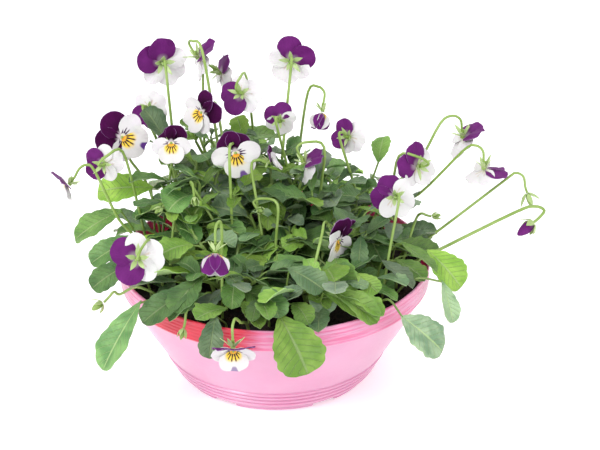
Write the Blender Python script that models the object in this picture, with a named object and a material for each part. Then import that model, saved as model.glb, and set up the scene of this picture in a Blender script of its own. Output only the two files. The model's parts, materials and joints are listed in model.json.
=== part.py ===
"""Pansies in a bowl: a shallow plastic planter of compost, planted with small two-coloured violas.

The bowl stands on the floor at z = 0 with its axis on the world Z axis. The front of the plant
looks along -Y. Lengths are metres, and the placements below are in millimetres and degrees.
"""

import math
import random

import bmesh
import bpy
from mathutils import Matrix, Vector

MM = 0.001

# ---- driving dimensions: the bowl ----
RIM_RADIUS = 0.125          # outside of the straight band under the lip
BOWL_HEIGHT = 0.098
WALL = 0.0022
BAND_HEIGHT = 0.0175        # straight band at the top of the bowl
BAND_STEP = 0.0026          # how far the band stands out from the body
BASE_RADIUS = 0.080
FOOT_HEIGHT = 0.0022
FOOT_COUNT = 6
DRAIN_RADIUS = 0.004
DRAIN_RING_RADIUS = 0.054
DRAIN_COUNT = 6
PAD_RADIUS = 0.040          # flat pad in the middle of the underside
BOWL_SEGMENTS = 48

# ---- driving dimensions: the compost ----
SOIL_BELOW_RIM = 0.014
SOIL_MOUND = 0.002
SOIL_GAP = 0.0004           # clearance between the compost and the plastic
SOIL_SEGMENTS = 24

# ---- driving dimensions: the plants ----
PLANT_HEIGHT = 0.138        # top of the highest bloom's centre above the rim
BLOOM_SCALE = 1.0
LEAF_SCALE = 1.0
STALK_RADIUS = 0.0011
PETIOLE_RADIUS = 0.0009
STEM_RADIUS = 0.0022
PETAL_THICKNESS = 0.001
LEAF_THICKNESS = 0.0012
CROWN_RING_RADIUS = 0.065   # circle on which the six outer crowns are planted
CROWN_REACH = 0.030         # how far a crown's own leaves spread from its stem
ROOT_GAP = 0.0005           # clearance between a stalk's foot and the compost
RISE = 0.004                # a stalk leaves the compost straight up for this far
RIM_CLEARANCE = 0.006       # height at which a stalk crosses over the rim

# the placements below were laid out for this rim radius and this plant height
LAYOUT_RIM_RADIUS = 0.125
LAYOUT_PLANT_HEIGHT = 0.138

# Crowns: name, angle around the bowl, share of the ring radius, height above the rim.
CROWNS = (
    ("crown_centre", 0, 0.0, 46),
    ("crown_right", 0, 1.0, 27),
    ("crown_back_right", 60, 1.0, 52),
    ("crown_back_left", 120, 1.0, 66),
    ("crown_left", 180, 1.0, 62),
    ("crown_front_left", 240, 1.0, 28),
    ("crown_front_right", 300, 1.0, 14),
)
CROWN_LEAVES = 7

# Blooms: centre x, y and height above the rim, then the way the face looks (turn from the
# front, upward pitch, roll), petal reach, cup of the petals, and the foot of the stalk as an
# angle around the bowl and a distance from its axis.
BLOOMS = (
    (-92, 75, 137, 195, -5, 35, 23, -0.1, 146, 96),
    (-62, 82, 138, 105, -52, 0, 20, 0.1, 152, 40),
    (-45, 95, 121, 110, -20, 20, 17, 0.2, 126, 104),
    (13, 85, 135, 180, -8, -30, 21, -0.1, 90, 38),
    (-121, 20, 94, 12, 15, -72, 23, -0.1, 158, 102),
    (-133, -5, 82, 170, -10, 100, 17, 0.2, 172, 104),
    (-162, -12, 67, -70, -40, 10, 16, 0.2, 187, 104),
    (-81, 8, 94, -5, 22, -6, 18, 0.1, 163, 99),
    (-30, -5, 91, 5, 10, -12, 22, -0.1, 210, 38),
    (-58, 30, 111, -45, 0, 45, 19, 0.1, 150, 35),
    (-27, 55, 117, 160, -30, 120, 19, 0.1, 98, 100),
    (25, 15, 73, 98, -58, 0, 18, 0.2, 28, 38),
    (-42, -98, 51, 0, -66, 5, 18, 0.3, 245, 92),
    (-101, -85, 40, 188, -20, 103, 22, 0.0, 212, 100),
    (-28, -146, -3, 5, -60, 0, 19, 0.0, 260, 106),
    (50, -48, 37, 45, -28, 42, 21, 0.0, 284, 94),
    (95, 0, 51, 190, -20, 52, 20, 0.1, 330, 98),
    (114, 28, 66, -138, -12, 45, 20, 0.1, 20, 96),
    (153, 42, 84, 100, -74, 0, 20, 0.1, 28, 92),
    (168, 15, 68, 92, -78, 0, 19, 0.2, 34, 100),
    (38, 62, 98, -20, -62, 0, 15, 0.4, 82, 92),
    (60, 50, 82, 150, -20, 75, 16, 0.1, 30, 88),
)

# Buds and spent flower heads: tip x, y and height above the rim, the way it points (turn,
# pitch), length, thickness, and the foot of the stalk as an angle and a distance.
BUDS = (
    (193, -12, 23, -62, -28, 17, 11, 352, 104),
    (207, 14, 36, 80, -70, 12, 7, 8, 103),
    (-92, -36, 54, -40, -10, 8, 6, 206, 92),
    (-60, -36, 60, 10, -20, 9, 5, 226, 37),
    (-9, -38, 56, 20, 10, 8, 5, 270, 38),
    (133, 2, 34, 60, 20, 8, 5, 342, 102),
    (-67, -128, -5, -10, -30, 9, 6, 246, 106),
    (-139, -78, -8, -60, -20, 10, 7, 220, 106),
)

# Outer leaves: blade base (x, y, height above the rim), blade tip (the same), width, arch of
# the blade, and the foot of the leaf stalk as an angle and a distance.
LEAVES = (
    (-123, 14, 33, -162, 8, 9, 26, 5, 172, 107),
    (-108, -26, 29, -143, -40, 12, 23, 5, 194, 104),
    (-98, 20, 50, -143, 20, 46, 28, 6, 164, 104),
    (-106, -48, 19, -140, -62, 2, 22, 5, 205, 107),
    (-99, -92, 8, -127, -120, -36, 28, 4, 226, 108),
    (-59, -92, 20, -96, -116, 2, 26, 5, 236, 102),
    (5, -118, 10, 26, -150, -21, 40, 6, 276, 106),
    (-42, -114, 8, -46, -140, -14, 20, 4, 250, 104),
    (-7, -92, 20, 5, -124, 11, 22, 4, 268, 94),
    (36, -92, 16, 79, -110, 1, 20, 5, 290, 98),
    (11, -80, 29, 38, -98, 20, 22, 5, 276, 84),
    (63, -70, 19, 79, -86, 11, 16, 3, 310, 92),
    (96, -98, -2, 127, -108, -27, 36, 4, 316, 107),
    (130, -54, 5, 139, -66, -26, 16, 3, 332, 108),
    (120, -30, 19, 146, -46, -6, 32, 4, 344, 106),
    (85, 60, 54, 90, 78, 70, 18, 2, 42, 92),
    (-86, 40, 76, -106, 50, 106, 24, 3, 140, 84),
    (81, 102, 22, 102, 132, -4, 28, 5, 52, 106),
    (5, 116, 24, 11, 150, 0, 28, 5, 88, 107),
    (-79, 102, 26, -106, 128, -2, 28, 5, 128, 108),
)


# ---------------------------------------------------------------------------
# shared helpers
# ---------------------------------------------------------------------------

def clear_scene():
    """Start from an empty scene."""
    for old in list(bpy.data.objects):
        bpy.data.objects.remove(old, do_unlink=True)


def material(name, colour, roughness):
    """One plain material with a colour and a roughness."""
    made = bpy.data.materials.new(name)
    made.use_nodes = True
    shader = made.node_tree.nodes["Principled BSDF"]
    shader.inputs["Base Color"].default_value = (*colour, 1.0)
    shader.inputs["Roughness"].default_value = roughness
    shader.inputs["Metallic"].default_value = 0.0
    return made


def finish(name, mesh_builder, colour, roughness):
    """Turn a built mesh into a named object with its own material."""
    bmesh.ops.recalc_face_normals(mesh_builder, faces=mesh_builder.faces)
    if mesh_builder.calc_volume(signed=True) < 0.0:
        bmesh.ops.reverse_faces(mesh_builder, faces=mesh_builder.faces)
    mesh = bpy.data.meshes.new(name)
    mesh_builder.to_mesh(mesh)
    mesh_builder.free()
    made = bpy.data.objects.new(name, mesh)
    made.data.materials.append(material("mat_" + name, colour, roughness))
    bpy.context.scene.collection.objects.link(made)
    return made


def ring_verts(builder, points):
    """Add one ring of corners."""
    return [builder.verts.new(point) for point in points]


def bridge(builder, first, second, lean=1):
    """Join two rings of the same count with a band of triangles that all lean one way."""
    count = len(first)
    for i in range(count):
        j = (i + 1) % count
        if lean > 0:
            builder.faces.new((first[i], first[j], second[j]))
            builder.faces.new((first[i], second[j], second[i]))
        else:
            builder.faces.new((first[i], first[j], second[i]))
            builder.faces.new((first[j], second[j], second[i]))


def skin(builder, rings):
    """Close a body from a list of rings, with a cap at each end."""
    made = [ring_verts(builder, ring) for ring in rings]
    for first, second in zip(made, made[1:]):
        bridge(builder, first, second)
    builder.faces.new(list(reversed(made[0])))
    builder.faces.new(made[-1])


def level_ring(radius, height, segments):
    """A level circle of corners about the bowl's axis."""
    return [Vector((radius * math.cos(2.0 * math.pi * i / segments),
                    radius * math.sin(2.0 * math.pi * i / segments), height))
            for i in range(segments)]


def smooth_path(points, steps):
    """A smooth curve through the given points, with a few steps between neighbours."""
    ends = [points[0] * 2 - points[1]] + list(points) + [points[-1] * 2 - points[-2]]
    path = []
    for a, b, c, d in zip(ends, ends[1:], ends[2:], ends[3:]):
        for i in range(steps):
            t = i / steps
            path.append(0.5 * ((2 * b) + (c - a) * t + (2 * a - 5 * b + 4 * c - d) * t * t
                               + (3 * b - a - 3 * c + d) * t ** 3))
    path.append(points[-1].copy())
    return path


def tangents(path):
    """The direction of travel at each point of a path."""
    made = []
    for i in range(len(path)):
        before = path[max(i - 1, 0)]
        after = path[min(i + 1, len(path) - 1)]
        made.append((after - before).normalized())
    return made


def carried_frames(path, side):
    """A side and an up direction at each point, carried along without twisting."""
    frames = []
    for direction in tangents(path):
        side = (side - direction * side.dot(direction)).normalized()
        frames.append((side, direction.cross(side)))
    return frames


def tube_ring(centre, side, up, radius, count):
    """A round ring of corners about a centre."""
    return [centre + (side * math.cos(2.0 * math.pi * i / count)
                      + up * math.sin(2.0 * math.pi * i / count)) * radius
            for i in range(count)]


def heading(turn, pitch):
    """The direction faced after turning from the front and tilting upward."""
    a = math.radians(turn)
    p = math.radians(pitch)
    return Vector((math.sin(a) * math.cos(p), -math.cos(a) * math.cos(p), math.sin(p)))


def soil_height(distance):
    """Height of the compost at a distance from the bowl's axis."""
    share = min(distance / soil_radius(), 1.0)
    return BOWL_HEIGHT - SOIL_BELOW_RIM + SOIL_MOUND * (1.0 - share * share)


def soil_radius():
    """Outer radius of the compost at its surface."""
    return RIM_RADIUS - BAND_STEP - WALL - SOIL_GAP


def placed(x, y, above_rim):
    """A layout position, spread with the bowl and raised with the plant."""
    spread = RIM_RADIUS / LAYOUT_RIM_RADIUS * MM
    lift = PLANT_HEIGHT / LAYOUT_PLANT_HEIGHT * MM if above_rim > 0 else MM
    return Vector((x * spread, y * spread, BOWL_HEIGHT + above_rim * lift))


def foot(angle, distance):
    """Where a stalk leaves the compost."""
    reach = distance * RIM_RADIUS / LAYOUT_RIM_RADIUS * MM
    a = math.radians(angle)
    return Vector((reach * math.cos(a), reach * math.sin(a), soil_height(reach) + ROOT_GAP))


def rise_to(root, end):
    """The lower part of a stalk: straight up from its foot, then over the rim if it has to."""
    above = Vector((0.0, 0.0, RISE))
    crossing = Vector((end.x - root.x, end.y - root.y, 0.0))
    way = Vector((root.x, root.y, 0.0))
    limit = RIM_RADIUS - WALL * 0.5
    if Vector((end.x, end.y)).length <= limit:
        middle = root.lerp(end, 0.5)
        middle.z = root.z * 0.42 + end.z * 0.58
        return [root, root + above, middle]
    share = 0.0
    while (way + crossing * share).length < limit:
        share += 0.02
    crest = way + crossing * share
    crest.z = max(end.z * share + root.z * (1.0 - share), BOWL_HEIGHT + RIM_CLEARANCE)
    lead = way + crossing * (share * 0.35)
    lead.z = root.z * 0.35 + crest.z * 0.65
    return [root, root + above, lead, crest]


# ---------------------------------------------------------------------------
# the bowl and the compost
# ---------------------------------------------------------------------------

def outer_profile():
    """Outside of the bowl from the base edge up to the lip, as (radius, height)."""
    body = RIM_RADIUS - BAND_STEP
    band = BOWL_HEIGHT - BAND_HEIGHT
    rise = band - FOOT_HEIGHT
    spread = body - BASE_RADIUS
    shares = ((0.0, 0.0), (0.08, 0.06), (0.21, 0.2), (0.42, 0.4), (0.69, 0.65), (0.87, 0.84))
    curve = [(BASE_RADIUS + spread * s, FOOT_HEIGHT + rise * h) for s, h in shares]
    return curve + [(body, band), (RIM_RADIUS, band + BAND_STEP * 0.5)]


def inner_profile():
    """Inside of the bowl from the lip down to the floor, as (radius, height)."""
    outside = outer_profile()
    down = [(RIM_RADIUS - WALL, BOWL_HEIGHT),
            (RIM_RADIUS - WALL, BOWL_HEIGHT - BAND_HEIGHT + WALL),
            (RIM_RADIUS - BAND_STEP - WALL, BOWL_HEIGHT - BAND_HEIGHT - WALL * 0.5)]
    for radius, height in reversed(outside[1:-2]):
        down.append((radius - WALL * 0.9, height + WALL * 0.6))
    down.append((BASE_RADIUS - WALL, FOOT_HEIGHT + WALL))
    return down


def drilled(bowl):
    """Cut the drain holes through the floor of the bowl."""
    for i in range(DRAIN_COUNT):
        angle = 2.0 * math.pi * (i + 0.5) / DRAIN_COUNT
        spot = (DRAIN_RING_RADIUS * math.cos(angle), DRAIN_RING_RADIUS * math.sin(angle), FOOT_HEIGHT)
        bpy.ops.mesh.primitive_cylinder_add(
            vertices=10, radius=DRAIN_RADIUS, depth=WALL * 4.0, location=spot)
        combine(bowl, bpy.context.object, "DIFFERENCE")
    return bowl


def padded(bowl):
    """Add the flat pad the bowl stands on between its feet."""
    depth = FOOT_HEIGHT + WALL * 0.5
    bpy.ops.mesh.primitive_cylinder_add(
        vertices=BOWL_SEGMENTS // 2, radius=PAD_RADIUS, depth=depth, location=(0.0, 0.0, depth * 0.5))
    return combine(bowl, bpy.context.object, "UNION")


def combine(target, other, operation):
    """Apply one exact Boolean and remove the second body."""
    step = target.modifiers.new("boolean", "BOOLEAN")
    step.operation = operation
    step.solver = "EXACT"
    step.object = other
    bpy.context.view_layer.objects.active = target
    bpy.ops.object.modifier_apply(modifier=step.name)
    bpy.data.objects.remove(other, do_unlink=True)
    return target


def foot_bar(start, end, radius_in, radius_out):
    """One curved foot under the base ring."""
    builder = bmesh.new()
    steps = 5
    rings = []
    for i in range(steps + 1):
        angle = start + (end - start) * i / steps
        c = math.cos(angle)
        s = math.sin(angle)
        rings.append([Vector((r * c, r * s, z)) for r, z in (
            (radius_in, 0.0), (radius_out, 0.0),
            (radius_out, FOOT_HEIGHT + WALL * 0.5), (radius_in, FOOT_HEIGHT + WALL * 0.5))])
    skin(builder, rings)
    return finish("foot_bar", builder, (1.0, 1.0, 1.0), 0.5)


def build_bowl():
    """The moulded bowl: a band under the lip, a rounded body, feet and drain holes."""
    builder = bmesh.new()
    profile = outer_profile() + [(RIM_RADIUS, BOWL_HEIGHT)] + inner_profile()
    skin(builder, [level_ring(r, z, BOWL_SEGMENTS) for r, z in profile])
    bowl = finish("bowl", builder, (0.87, 0.33, 0.52), 0.4)
    for i in range(FOOT_COUNT):
        start = 2.0 * math.pi * (i + 0.12) / FOOT_COUNT
        end = 2.0 * math.pi * (i + 0.88) / FOOT_COUNT
        combine(bowl, foot_bar(start, end, BASE_RADIUS - 0.007, BASE_RADIUS - 0.0012), "UNION")
    return drilled(padded(bowl))


def build_soil():
    """The compost: fills the bowl to just under the rim, slightly mounded."""
    wall = SOIL_GAP + 0.0002
    builder = bmesh.new()
    top = BOWL_HEIGHT - SOIL_BELOW_RIM
    inside = [(r, z) for r, z in reversed(inner_profile()) if z < top - WALL * 2.0]
    rings = [(r - wall, z + wall) for r, z in inside]
    rings.append((soil_radius(), top))
    rings += [(soil_radius() * s, soil_height(soil_radius() * s)) for s in (0.8, 0.5, 0.2)]
    skin(builder, [level_ring(r, z, SOIL_SEGMENTS) for r, z in rings])
    return finish("soil", builder, (0.03, 0.02, 0.015), 0.95)


# ---------------------------------------------------------------------------
# leaves
# ---------------------------------------------------------------------------

BLADE_OUTLINE = ((0.0, 0.14), (0.14, 0.66), (0.34, 1.0), (0.58, 0.9), (0.82, 0.55), (1.0, 0.06))


def blade_ring(centre, side, normal, half_width, half_thick, fold):
    """Four corners of a blade: left edge, top of the midrib, right edge, underside."""
    edge_lift = normal * (half_width * fold)
    return [centre - side * half_width + edge_lift, centre - normal * half_thick,
            centre + side * half_width + edge_lift, centre + normal * half_thick]


def skin_blade(builder, rings):
    """Close a leaf from its four-cornered rings, its upper and lower sides split alike."""
    made = [ring_verts(builder, ring) for ring in rings]
    for (left, under, right, top), (left2, under2, right2, top2) in zip(made, made[1:]):
        for edge, edge2 in ((left, left2), (right, right2)):
            for middle, middle2 in ((under, under2), (top, top2)):
                builder.faces.new((edge, middle, middle2))
                builder.faces.new((edge, middle2, edge2))
    builder.faces.new(made[0])
    builder.faces.new(made[-1])


def leaf_rings(root, base, tip, width, arch, facing):
    """Rings of a leaf stalk that widens into a blade."""
    stalk = rise_to(root, base)
    top = (base + tip) * 0.5 + facing.normalized() * arch
    rings = []
    bend = [base * (1 - t) ** 2 + top * (2 * t * (1 - t)) + tip * (t * t)
            for t, share in BLADE_OUTLINE]
    path = stalk + bend
    directions = tangents(path)
    across = (tip - base).cross(facing).normalized()
    for i in range(len(path)):
        direction = directions[i]
        side = (across - direction * across.dot(direction)).normalized()
        normal = side.cross(direction)
        if i < len(stalk):
            rings.append(blade_ring(path[i], side, normal, PETIOLE_RADIUS, PETIOLE_RADIUS, 0.0))
        else:
            share = BLADE_OUTLINE[i - len(stalk)][1]
            thick = LEAF_THICKNESS * 0.5 * (0.5 + 0.5 * share)
            half = max(width * 0.5 * share * LEAF_SCALE, PETIOLE_RADIUS)
            rings.append(blade_ring(path[i], side, normal, half, thick, 0.22))
    return rings


def outward_facing(base, tip):
    """The way an arching leaf shows its upper side: up and away from the bowl's axis."""
    away = Vector((base.x + tip.x, base.y + tip.y, 0.0)).normalized()
    drop = max((base.z - tip.z) / (tip - base).length, 0.0)
    return (Vector((0.0, 0.0, 1.0)) + away * (0.3 + drop)).normalized()


def build_leaf(number, spec):
    """One outer leaf on its own stalk."""
    bx, by, bz, tx, ty, tz, width, arch, angle, distance = spec
    base = placed(bx, by, bz)
    tip = placed(tx, ty, tz)
    builder = bmesh.new()
    skin_blade(builder, leaf_rings(foot(angle, distance), base, tip, width * MM, arch * MM,
                                   outward_facing(base, tip)))
    shade = 0.8 + 0.2 * math.sin(number * 2.4)
    return finish(f"leaf_{number:02d}", builder, (0.11 * shade, 0.2 * shade, 0.07 * shade), 0.6)


# ---------------------------------------------------------------------------
# crowns: one short stem with its own upright leaves
# ---------------------------------------------------------------------------

def crown_leaf(stem_foot, height, turn, level, reach):
    """One upright leaf of a crown, its stalk starting inside the stem."""
    out = heading(turn, 0.0)
    start = stem_foot + Vector((0.0, 0.0, height * level))
    base = start + out * (reach * 0.45) + Vector((0.0, 0.0, height * 0.14 + 0.006))
    tip = base + out * (reach * 0.5) + Vector((0.0, 0.0, height * 0.12 + 0.008))
    builder = bmesh.new()
    facing = (Vector((0.0, 0.0, 1.0)) - out * 0.35).normalized()
    skin_blade(builder, leaf_rings(start, base, tip, reach * 0.62, 0.002, facing))
    return finish("crown_leaf", builder, (0.1, 0.18, 0.06), 0.6)


def build_crown(number, spec):
    """A crown of leaves on one stem, joined into a single body."""
    name, angle, share, above = spec
    rng = random.Random(40 + number)
    spot = foot(angle, CROWN_RING_RADIUS * share * LAYOUT_RIM_RADIUS / RIM_RADIUS / MM)
    height = placed(0.0, 0.0, above).z - spot.z
    builder = bmesh.new()
    top = spot + Vector((0.0, 0.0, height * 0.8))
    path = smooth_path([spot, (spot + top) * 0.5 + Vector((0.001, 0.0, 0.0)), top], 2)
    frames = carried_frames(path, Vector((1.0, 0.0, 0.0)))
    skin(builder, [tube_ring(p, s, u, STEM_RADIUS * (1.0 - 0.35 * i / len(path)), 6)
                   for i, (p, (s, u)) in enumerate(zip(path, frames))])
    shade = 0.8 + 0.2 * math.sin(number * 1.7)
    crown = finish(name, builder, (0.1 * shade, 0.19 * shade, 0.06 * shade), 0.6)
    turn = rng.uniform(0.0, 360.0)
    for i in range(CROWN_LEAVES):
        level = 0.18 + 0.56 * i / (CROWN_LEAVES - 1)
        reach = CROWN_REACH * LEAF_SCALE * (1.0 - 0.25 * i / (CROWN_LEAVES - 1))
        combine(crown, crown_leaf(spot, height, turn, level, reach), "UNION")
        turn += 137.5
    return crown


# ---------------------------------------------------------------------------
# blooms and buds
# ---------------------------------------------------------------------------

# Reach of the petal edge over one petal, from the notch before it: notch, shoulder, tip, shoulder.
PETAL_EDGE = (0.70, 0.95, 1.0, 0.95)
# Per petal, going round from the right side petal: reach, and how far its tip stands forward.
PETALS = ((0.86, 0.0), (1.0, -0.12), (1.0, -0.12), (0.86, 0.0), (0.92, 0.1))
FIRST_NOTCH = -54.0         # direction of the notch before the right side petal, degrees
INNER_RING = 0.33           # circle inside the petals, as a share of their reach
HOOK = 0.008                # size of the hooked neck behind a flower
# Thickness of the calyx and neck behind a flower, as multiples of the stalk's.
CALYX_SWELL = (1.6, 2.2, 2.0, 1.3)


def stalk_path(centre, face, root, hook):
    """From the back of the flower over the hooked neck and down to the compost."""
    raised = Vector((0.0, 0.0, hook))
    neck = centre - face * (hook * 0.85) + raised * 0.2
    crook = centre - face * (hook * 1.5) + raised * 0.45
    shoulder = centre - face * (hook * 2.1) - raised * 0.2
    lower = rise_to(root, shoulder)
    lower.reverse()
    return [centre - face * (hook * 0.3), neck, crook, shoulder] + lower


def bloom_frame(turn, pitch, roll):
    """Facing, sideways and upward directions of a flower."""
    face = heading(turn, pitch)
    upright = Vector((0.0, 0.0, 1.0))
    up = (upright - face * upright.dot(face)).normalized()
    up = Matrix.Rotation(math.radians(-roll), 3, face) @ up
    return face, up.cross(face), up


def petal_rings(builder, centre, frame, size, cup):
    """Front and back corners of the petals: inner ring and edge of each."""
    face, side, up = frame
    front, edge, edge_back, back = [], [], [], []
    steps = len(PETAL_EDGE)
    for i in range(len(PETALS) * steps):
        petal_reach, forward = PETALS[i // steps]
        theta = math.radians(FIRST_NOTCH + 72.0 / steps * i)
        out = side * math.cos(theta) + up * math.sin(theta)
        lip = size * petal_reach * PETAL_EDGE[i % steps]
        for reach, tops, bottoms in ((size * INNER_RING, front, back), (lip, edge, edge_back)):
            rise = cup * reach * reach / size + forward * reach * (PETAL_EDGE[i % steps] - 0.4)
            tops.append(builder.verts.new(centre + out * reach + face * rise))
            bottoms.append(builder.verts.new(centre + out * reach + face * (rise - PETAL_THICKNESS)))
    return front, edge, edge_back, back


def stalk_ring(centre, side, up, radius):
    """Five corners of a stalk, in step with the five petals."""
    corners = []
    for i in range(len(PETALS)):
        theta = math.radians(FIRST_NOTCH + 36.0 + 72.0 * i)
        corners.append(centre + (side * math.cos(theta) + up * math.sin(theta)) * radius)
    return corners


def join_stalk(builder, back, ring):
    """Close the back of the petals onto the first ring of the calyx."""
    steps = len(PETAL_EDGE)
    count = len(back)
    for i, corner in enumerate(ring):
        for k in range(steps):
            first = back[(steps * i + k) % count]
            second = back[(steps * i + k + 1) % count]
            builder.faces.new((first, second, corner))
        following = ring[(i + 1) % len(ring)]
        builder.faces.new((back[(steps * (i + 1)) % count], following, corner))


def build_bloom(number, spec):
    """One open flower: five joined petals, the calyx behind them and the hooked stalk."""
    x, y, z, turn, pitch, roll, reach, cup, angle, distance = spec
    centre = placed(x, y, z)
    frame = bloom_frame(turn, pitch, roll)
    face, side, _ = frame
    builder = bmesh.new()
    front, edge, edge_back, back = petal_rings(builder, centre, frame, reach * MM * BLOOM_SCALE, cup)
    hub = builder.verts.new(centre)
    for first, second in zip(front, front[1:] + front[:1]):
        builder.faces.new((hub, first, second))
    bridge(builder, front, edge)
    bridge(builder, edge, edge_back)
    bridge(builder, edge_back, back, -1)
    line = stalk_path(centre, face, foot(angle, distance), HOOK * BLOOM_SCALE)
    path = smooth_path(line[:-1], 2) + line[-1:]
    swell = list(CALYX_SWELL) + [1.0] * (len(path) - len(CALYX_SWELL))
    rings = [ring_verts(builder, stalk_ring(p, s, -u, share * STALK_RADIUS))
             for p, (s, u), share in zip(path, carried_frames(path, side), swell)]
    join_stalk(builder, back, rings[0])
    for first, second in zip(rings, rings[1:]):
        bridge(builder, first, second)
    builder.faces.new(rings[-1])
    return finish(f"bloom_{number:02d}", builder, (0.5, 0.42, 0.55), 0.55)


def build_bud(number, spec):
    """A closed bud or a spent flower head on its stalk."""
    x, y, z, turn, pitch, length, thick, angle, distance = spec
    tip = placed(x, y, z)
    face = heading(turn, pitch)
    size = length * MM * BLOOM_SCALE
    root = foot(angle, distance)
    neck = tip - face * size
    crook = neck - face * (HOOK * 0.5) + Vector((0.0, 0.0, HOOK * 0.3))
    shoulder = neck - face * (HOOK * 1.1) + Vector((0.0, 0.0, HOOK * -0.2))
    lower = rise_to(root, shoulder)
    lower.reverse()
    body = [tip, tip - face * (size * 0.35), tip - face * (size * 0.75), neck]
    path = body + [crook, shoulder] + lower
    half = thick * MM * BLOOM_SCALE * 0.5
    radii = [half * 0.3, half, half * 0.85, STALK_RADIUS * 1.2] + [STALK_RADIUS] * (len(path) - 4)
    side = face.orthogonal().normalized()
    builder = bmesh.new()
    skin(builder, [tube_ring(p, s, u, r, 5)
                   for p, (s, u), r in zip(path, carried_frames(path, side), radii)])
    return finish(f"bud_{number:02d}", builder, (0.22, 0.3, 0.12), 0.6)


clear_scene()
build_bowl()
build_soil()
for number, spec in enumerate(CROWNS, start=1):
    build_crown(number, spec)
for number, spec in enumerate(BLOOMS, start=1):
    build_bloom(number, spec)
for number, spec in enumerate(BUDS, start=1):
    build_bud(number, spec)
for number, spec in enumerate(LEAVES, start=1):
    build_leaf(number, spec)
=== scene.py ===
# %% [markdown]
# # Pansies in a bowl
# A shallow plastic planter holds compost and a crowd of small two-coloured pansies. The packed
# CAD model gives the frame: the bowl's size, the foot of every stalk and the place of every
# bloom. This lesson builds the visible pieces around that frame, one kind at a time.

# %% Load the frame
import json
import math
import random

import bmesh
import bpy
from mathutils import Matrix, Vector
from mathutils import noise as waves

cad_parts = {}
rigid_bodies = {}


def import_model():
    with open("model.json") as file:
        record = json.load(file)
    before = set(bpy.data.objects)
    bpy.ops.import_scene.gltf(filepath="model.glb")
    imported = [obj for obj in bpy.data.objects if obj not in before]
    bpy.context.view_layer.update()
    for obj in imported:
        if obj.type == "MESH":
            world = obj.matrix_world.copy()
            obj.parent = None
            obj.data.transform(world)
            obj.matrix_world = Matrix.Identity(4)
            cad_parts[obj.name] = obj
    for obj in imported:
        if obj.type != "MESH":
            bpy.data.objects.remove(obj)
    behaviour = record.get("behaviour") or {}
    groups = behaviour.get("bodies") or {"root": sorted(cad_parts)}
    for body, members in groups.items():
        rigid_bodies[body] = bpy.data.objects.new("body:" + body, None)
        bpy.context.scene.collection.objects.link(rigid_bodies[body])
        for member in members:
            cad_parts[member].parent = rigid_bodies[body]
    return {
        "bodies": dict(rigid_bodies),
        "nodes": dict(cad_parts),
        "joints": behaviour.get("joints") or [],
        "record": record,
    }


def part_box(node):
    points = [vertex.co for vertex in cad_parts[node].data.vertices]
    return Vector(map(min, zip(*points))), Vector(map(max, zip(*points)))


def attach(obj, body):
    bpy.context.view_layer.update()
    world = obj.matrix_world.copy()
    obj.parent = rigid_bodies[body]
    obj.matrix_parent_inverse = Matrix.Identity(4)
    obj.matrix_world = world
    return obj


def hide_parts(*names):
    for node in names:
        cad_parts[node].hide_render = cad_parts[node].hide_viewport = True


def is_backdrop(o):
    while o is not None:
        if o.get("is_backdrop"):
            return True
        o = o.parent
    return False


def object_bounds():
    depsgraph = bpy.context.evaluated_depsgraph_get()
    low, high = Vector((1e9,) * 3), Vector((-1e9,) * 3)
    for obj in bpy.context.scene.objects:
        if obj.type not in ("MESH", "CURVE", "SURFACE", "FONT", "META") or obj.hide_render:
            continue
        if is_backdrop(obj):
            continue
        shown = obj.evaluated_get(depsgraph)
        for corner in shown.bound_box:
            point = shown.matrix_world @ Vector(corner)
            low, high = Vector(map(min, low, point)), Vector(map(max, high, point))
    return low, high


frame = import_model()
CAD_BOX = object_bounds()
MM = 0.001
print("CAD box", [[round(v, 4) for v in corner] for corner in CAD_BOX])

# %% [markdown]
# Blender's operators act on whatever is selected, and a freshly loaded frame is all selected.
# These small helpers keep that tidy: one clears the selection, one makes a single object the
# active one, and one hands a finished piece to the frame.

# %% Helpers for selecting and finishing
def deselect():
    """Leave edit mode and select nothing."""
    if bpy.context.object and bpy.context.object.mode != "OBJECT":
        bpy.ops.object.mode_set(mode="OBJECT")
    bpy.ops.object.select_all(action="DESELECT")


def only(piece):
    """Select one object and make it active."""
    deselect()
    piece.select_set(True)
    bpy.context.view_layer.objects.active = piece
    return piece


def named(piece, name):
    """Name an object and its mesh."""
    piece.name = name
    piece.data.name = name
    return piece


def applied(piece, kind, **settings):
    """Add one modifier with these settings and apply it."""
    only(piece)
    step = piece.modifiers.new(kind.lower(), kind)
    for key, value in settings.items():
        setattr(step, key, value)
    bpy.ops.object.modifier_apply(modifier=step.name)
    return piece


def outward(piece):
    """Merge doubles and turn every face outwards."""
    only(piece)
    bpy.ops.object.mode_set(mode="EDIT")
    bpy.ops.mesh.select_all(action="SELECT")
    bpy.ops.mesh.remove_doubles(threshold=1e-6)
    bpy.ops.mesh.normals_make_consistent(inside=False)
    bpy.ops.object.mode_set(mode="OBJECT")
    return piece


def smooth(piece, angle=60.0):
    """Shade smoothly except over sharp edges."""
    only(piece)
    bpy.ops.object.shade_smooth_by_angle(angle=math.radians(angle))
    return piece


def joined(pieces, name):
    """Join several objects into one named piece."""
    deselect()
    for piece in pieces:
        piece.select_set(True)
    bpy.context.view_layer.objects.active = pieces[0]
    bpy.ops.object.join()
    return named(bpy.context.object, name)


def handed(piece, slot, *nodes):
    """Attach a piece to the root body and hide the CAD nodes that it stands for. The slot is not used."""
    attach(piece, "root")
    if nodes:
        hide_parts(*nodes)
    return piece


# %% [markdown]
# ## Camera, light and floor
# The planter is seen from a little above, through a long lens, on a plain white floor. Big soft
# lamps from the front, the sides and behind give the bright, nearly shadowless light of a
# photographer's table. The floor glows faintly, so that it stays white between the lamps.

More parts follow.
